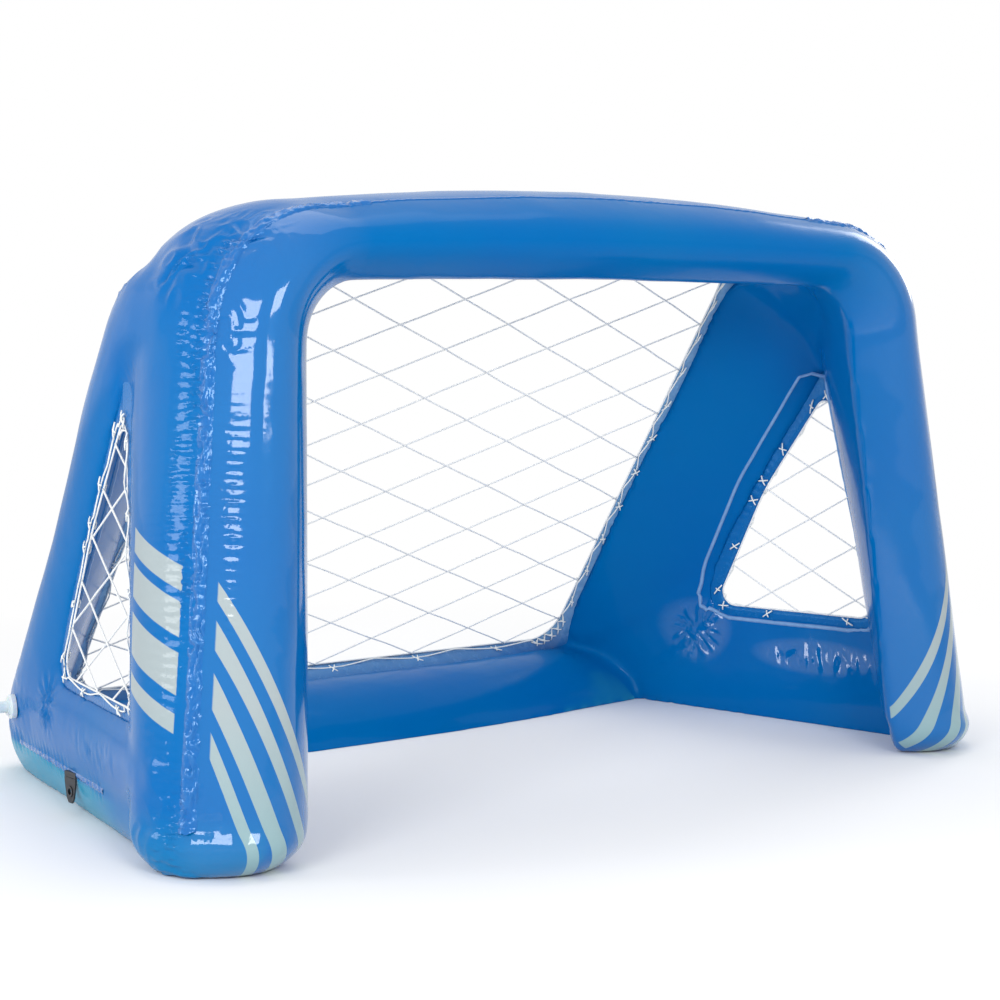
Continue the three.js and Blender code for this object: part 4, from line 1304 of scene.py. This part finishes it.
rear_limit = rounded_outline(rear_corners, hem_radii("corner", "corner", "corner", "corner"))
rear_outline = rounded_outline(rear_corners, hem_radii("head", "head", "foot", "foot"))
side_limit = rounded_outline(side_corners, hem_radii("corner", "corner", "bend", "corner"))
side_outline = rounded_outline(side_corners, hem_radii("side", "side", "bend", "apex"))
straight = np.ones(3)
make_net("net_rear", "rear_net", rear_place, rear_outline, REAR_MESH, straight, 7, HEM["width"])
make_hem("hem_rear", ["rear_hem_head", "rear_hem_foot", "rear_hem_l", "rear_hem_r"],
         rear_limit, rear_outline, rear_place, rear_gusset, straight, 11, PALE_HEM,
         HEM["width"], HEM["buried"])
make_lacing("lacing_rear", "rear_lacing", rear_limit, rear_outline, rear_place, rear_root,
            straight, -1, HEM["width"])
for tag, flip in (("r", straight), ("l", MIRROR)):
    make_net("net_side_" + tag, "side_net_" + tag, side_place, side_outline, SIDE_MESH, flip, 8,
             HEM["side_width"])
    make_hem("hem_side_" + tag, ["side_hem_" + tag], side_limit, side_outline, side_place,
             side_root, flip, 12, BLUE_HEM, HEM["side_width"], HEM["side_buried"])
    make_lacing("lacing_side_" + tag, "side_lacing_" + tag, side_limit, side_outline,
                side_place, side_root, flip, 1, HEM["side_width"], both_faces=True)
    window_bead("weld_window_" + tag, flip, 170)


# Fittings keep their solids, with finishes of their own


def dress(nodes, material):
    """Gives solids of the frame a finish."""
    for node in nodes:
        made = bpy.data.objects[node]
        made.data.materials.clear()
        made.data.materials.append(material)


for tag in ("r", "l"):
    dress(["valve_flange_" + tag, "valve_stem_" + tag, "valve_plug_" + tag], MILKY)
    dress(["mooring_tab_" + tag, "mooring_lug_" + tag], TAB_BLACK)
    dress(["mooring_rim_" + tag], RIM_BLACK)


# Floor, backdrop and lamps


FLOOR_Z = -0.0004
FLOOR_HALF = 30.0
WHITE_FROM, WHITE_OVER = 0.8, 1.1  # where the floor turns plain white, and over what distance


def studio():
    """A pale floor that turns white with distance, and a plain white surround."""
    h = FLOOR_HALF
    corners = [(-h, -h, FLOOR_Z), (h, -h, FLOOR_Z), (h, h, FLOOR_Z), (-h, h, FLOOR_Z)]
    floor = mesh_object("floor", corners, [[0, 1, 2, 3]])
    f = Finish("floor_white")
    at = f.node("ShaderNodeNewGeometry")
    far = f.node("ShaderNodeVectorMath", {"operation": "LENGTH"}, {0: at}, output=1)
    paper = f.lumps(2.0, 3.0) * 0.02 + 0.93
    shade = f.node("ShaderNodeBsdfDiffuse", inputs={"Color": f.node(
        "ShaderNodeCombineColor", inputs={0: paper, 1: paper, 2: paper})})
    glow = f.node("ShaderNodeEmission", inputs={"Color": rgb(1, 1, 1), "Strength": 1.0})
    seen = f.node("ShaderNodeLightPath")
    share = ((far - WHITE_FROM) / WHITE_OVER).clipped() * seen
    mixed = f.node("ShaderNodeMixShader", inputs={0: share, 1: shade, 2: glow})
    f.node("ShaderNodeOutputMaterial", inputs={"Surface": mixed})
    floor.data.materials.append(f.owner)
    world = bpy.data.worlds.new("studio")
    bpy.context.scene.world = world
    w = Finish("studio", world)
    seen = w.node("ShaderNodeLightPath")
    outputs = seen.link.node.outputs
    for ray in ("Is Glossy Ray", "Is Transmission Ray"):
        seen = seen.math("MAXIMUM", seen, Level(w, outputs[ray]))
    light = w.node("ShaderNodeBackground", inputs={"Color": rgb(0.97, 0.98, 1.0), "Strength": 0.72})
    white = w.node("ShaderNodeBackground", inputs={"Color": rgb(1, 1, 1), "Strength": 1.0})
    mixed = w.node("ShaderNodeMixShader", inputs={0: seen, 1: light, 2: white})
    w.node("ShaderNodeOutputWorld", inputs={"Surface": mixed})


def lamp(name, place, target, size, power):
    """A rectangular studio lamp that faces its target."""
    data = bpy.data.lights.new(name, "AREA")
    data.shape = "RECTANGLE"
    data.size, data.size_y = size
    data.energy = power
    made = bpy.data.objects.new(name, data)
    bpy.context.scene.collection.objects.link(made)
    made.location = place
    made.rotation_mode = "QUATERNION"
    made.rotation_quaternion = (Vector(target) - Vector(place)).to_track_quat("-Z", "Y")


LAMPS = (  # name, place, target, size, power
    ("key", (-3.35, -1.95, 1.75), (-0.4, -0.2, 0.5), (1.4, 0.9), 43),
    ("strip", (-1.3, -3.6, 1.75), (-0.4, -0.2, 0.5), (1.2, 0.9), 42),
    ("low", (-3.1, 0.9, 0.80), (0.2, 0, 0.3), (0.7, 0.6), 14),
    ("back", (-2.1, 2.7, 1.10), (-0.3, 0, 0.4), (2.4, 1.5), 4),
    ("top", (0.3, 0.2, 3.2), (0, 0, 0), (2.2, 2.2), 20),
    ("side", (3.0, 0.6, 1.7), (0, 0, 0.4), (1.0, 1.6), 18),
)
studio()
for row in LAMPS:
    lamp(*row)

bpy.context.scene.view_settings.view_transform = "Standard"
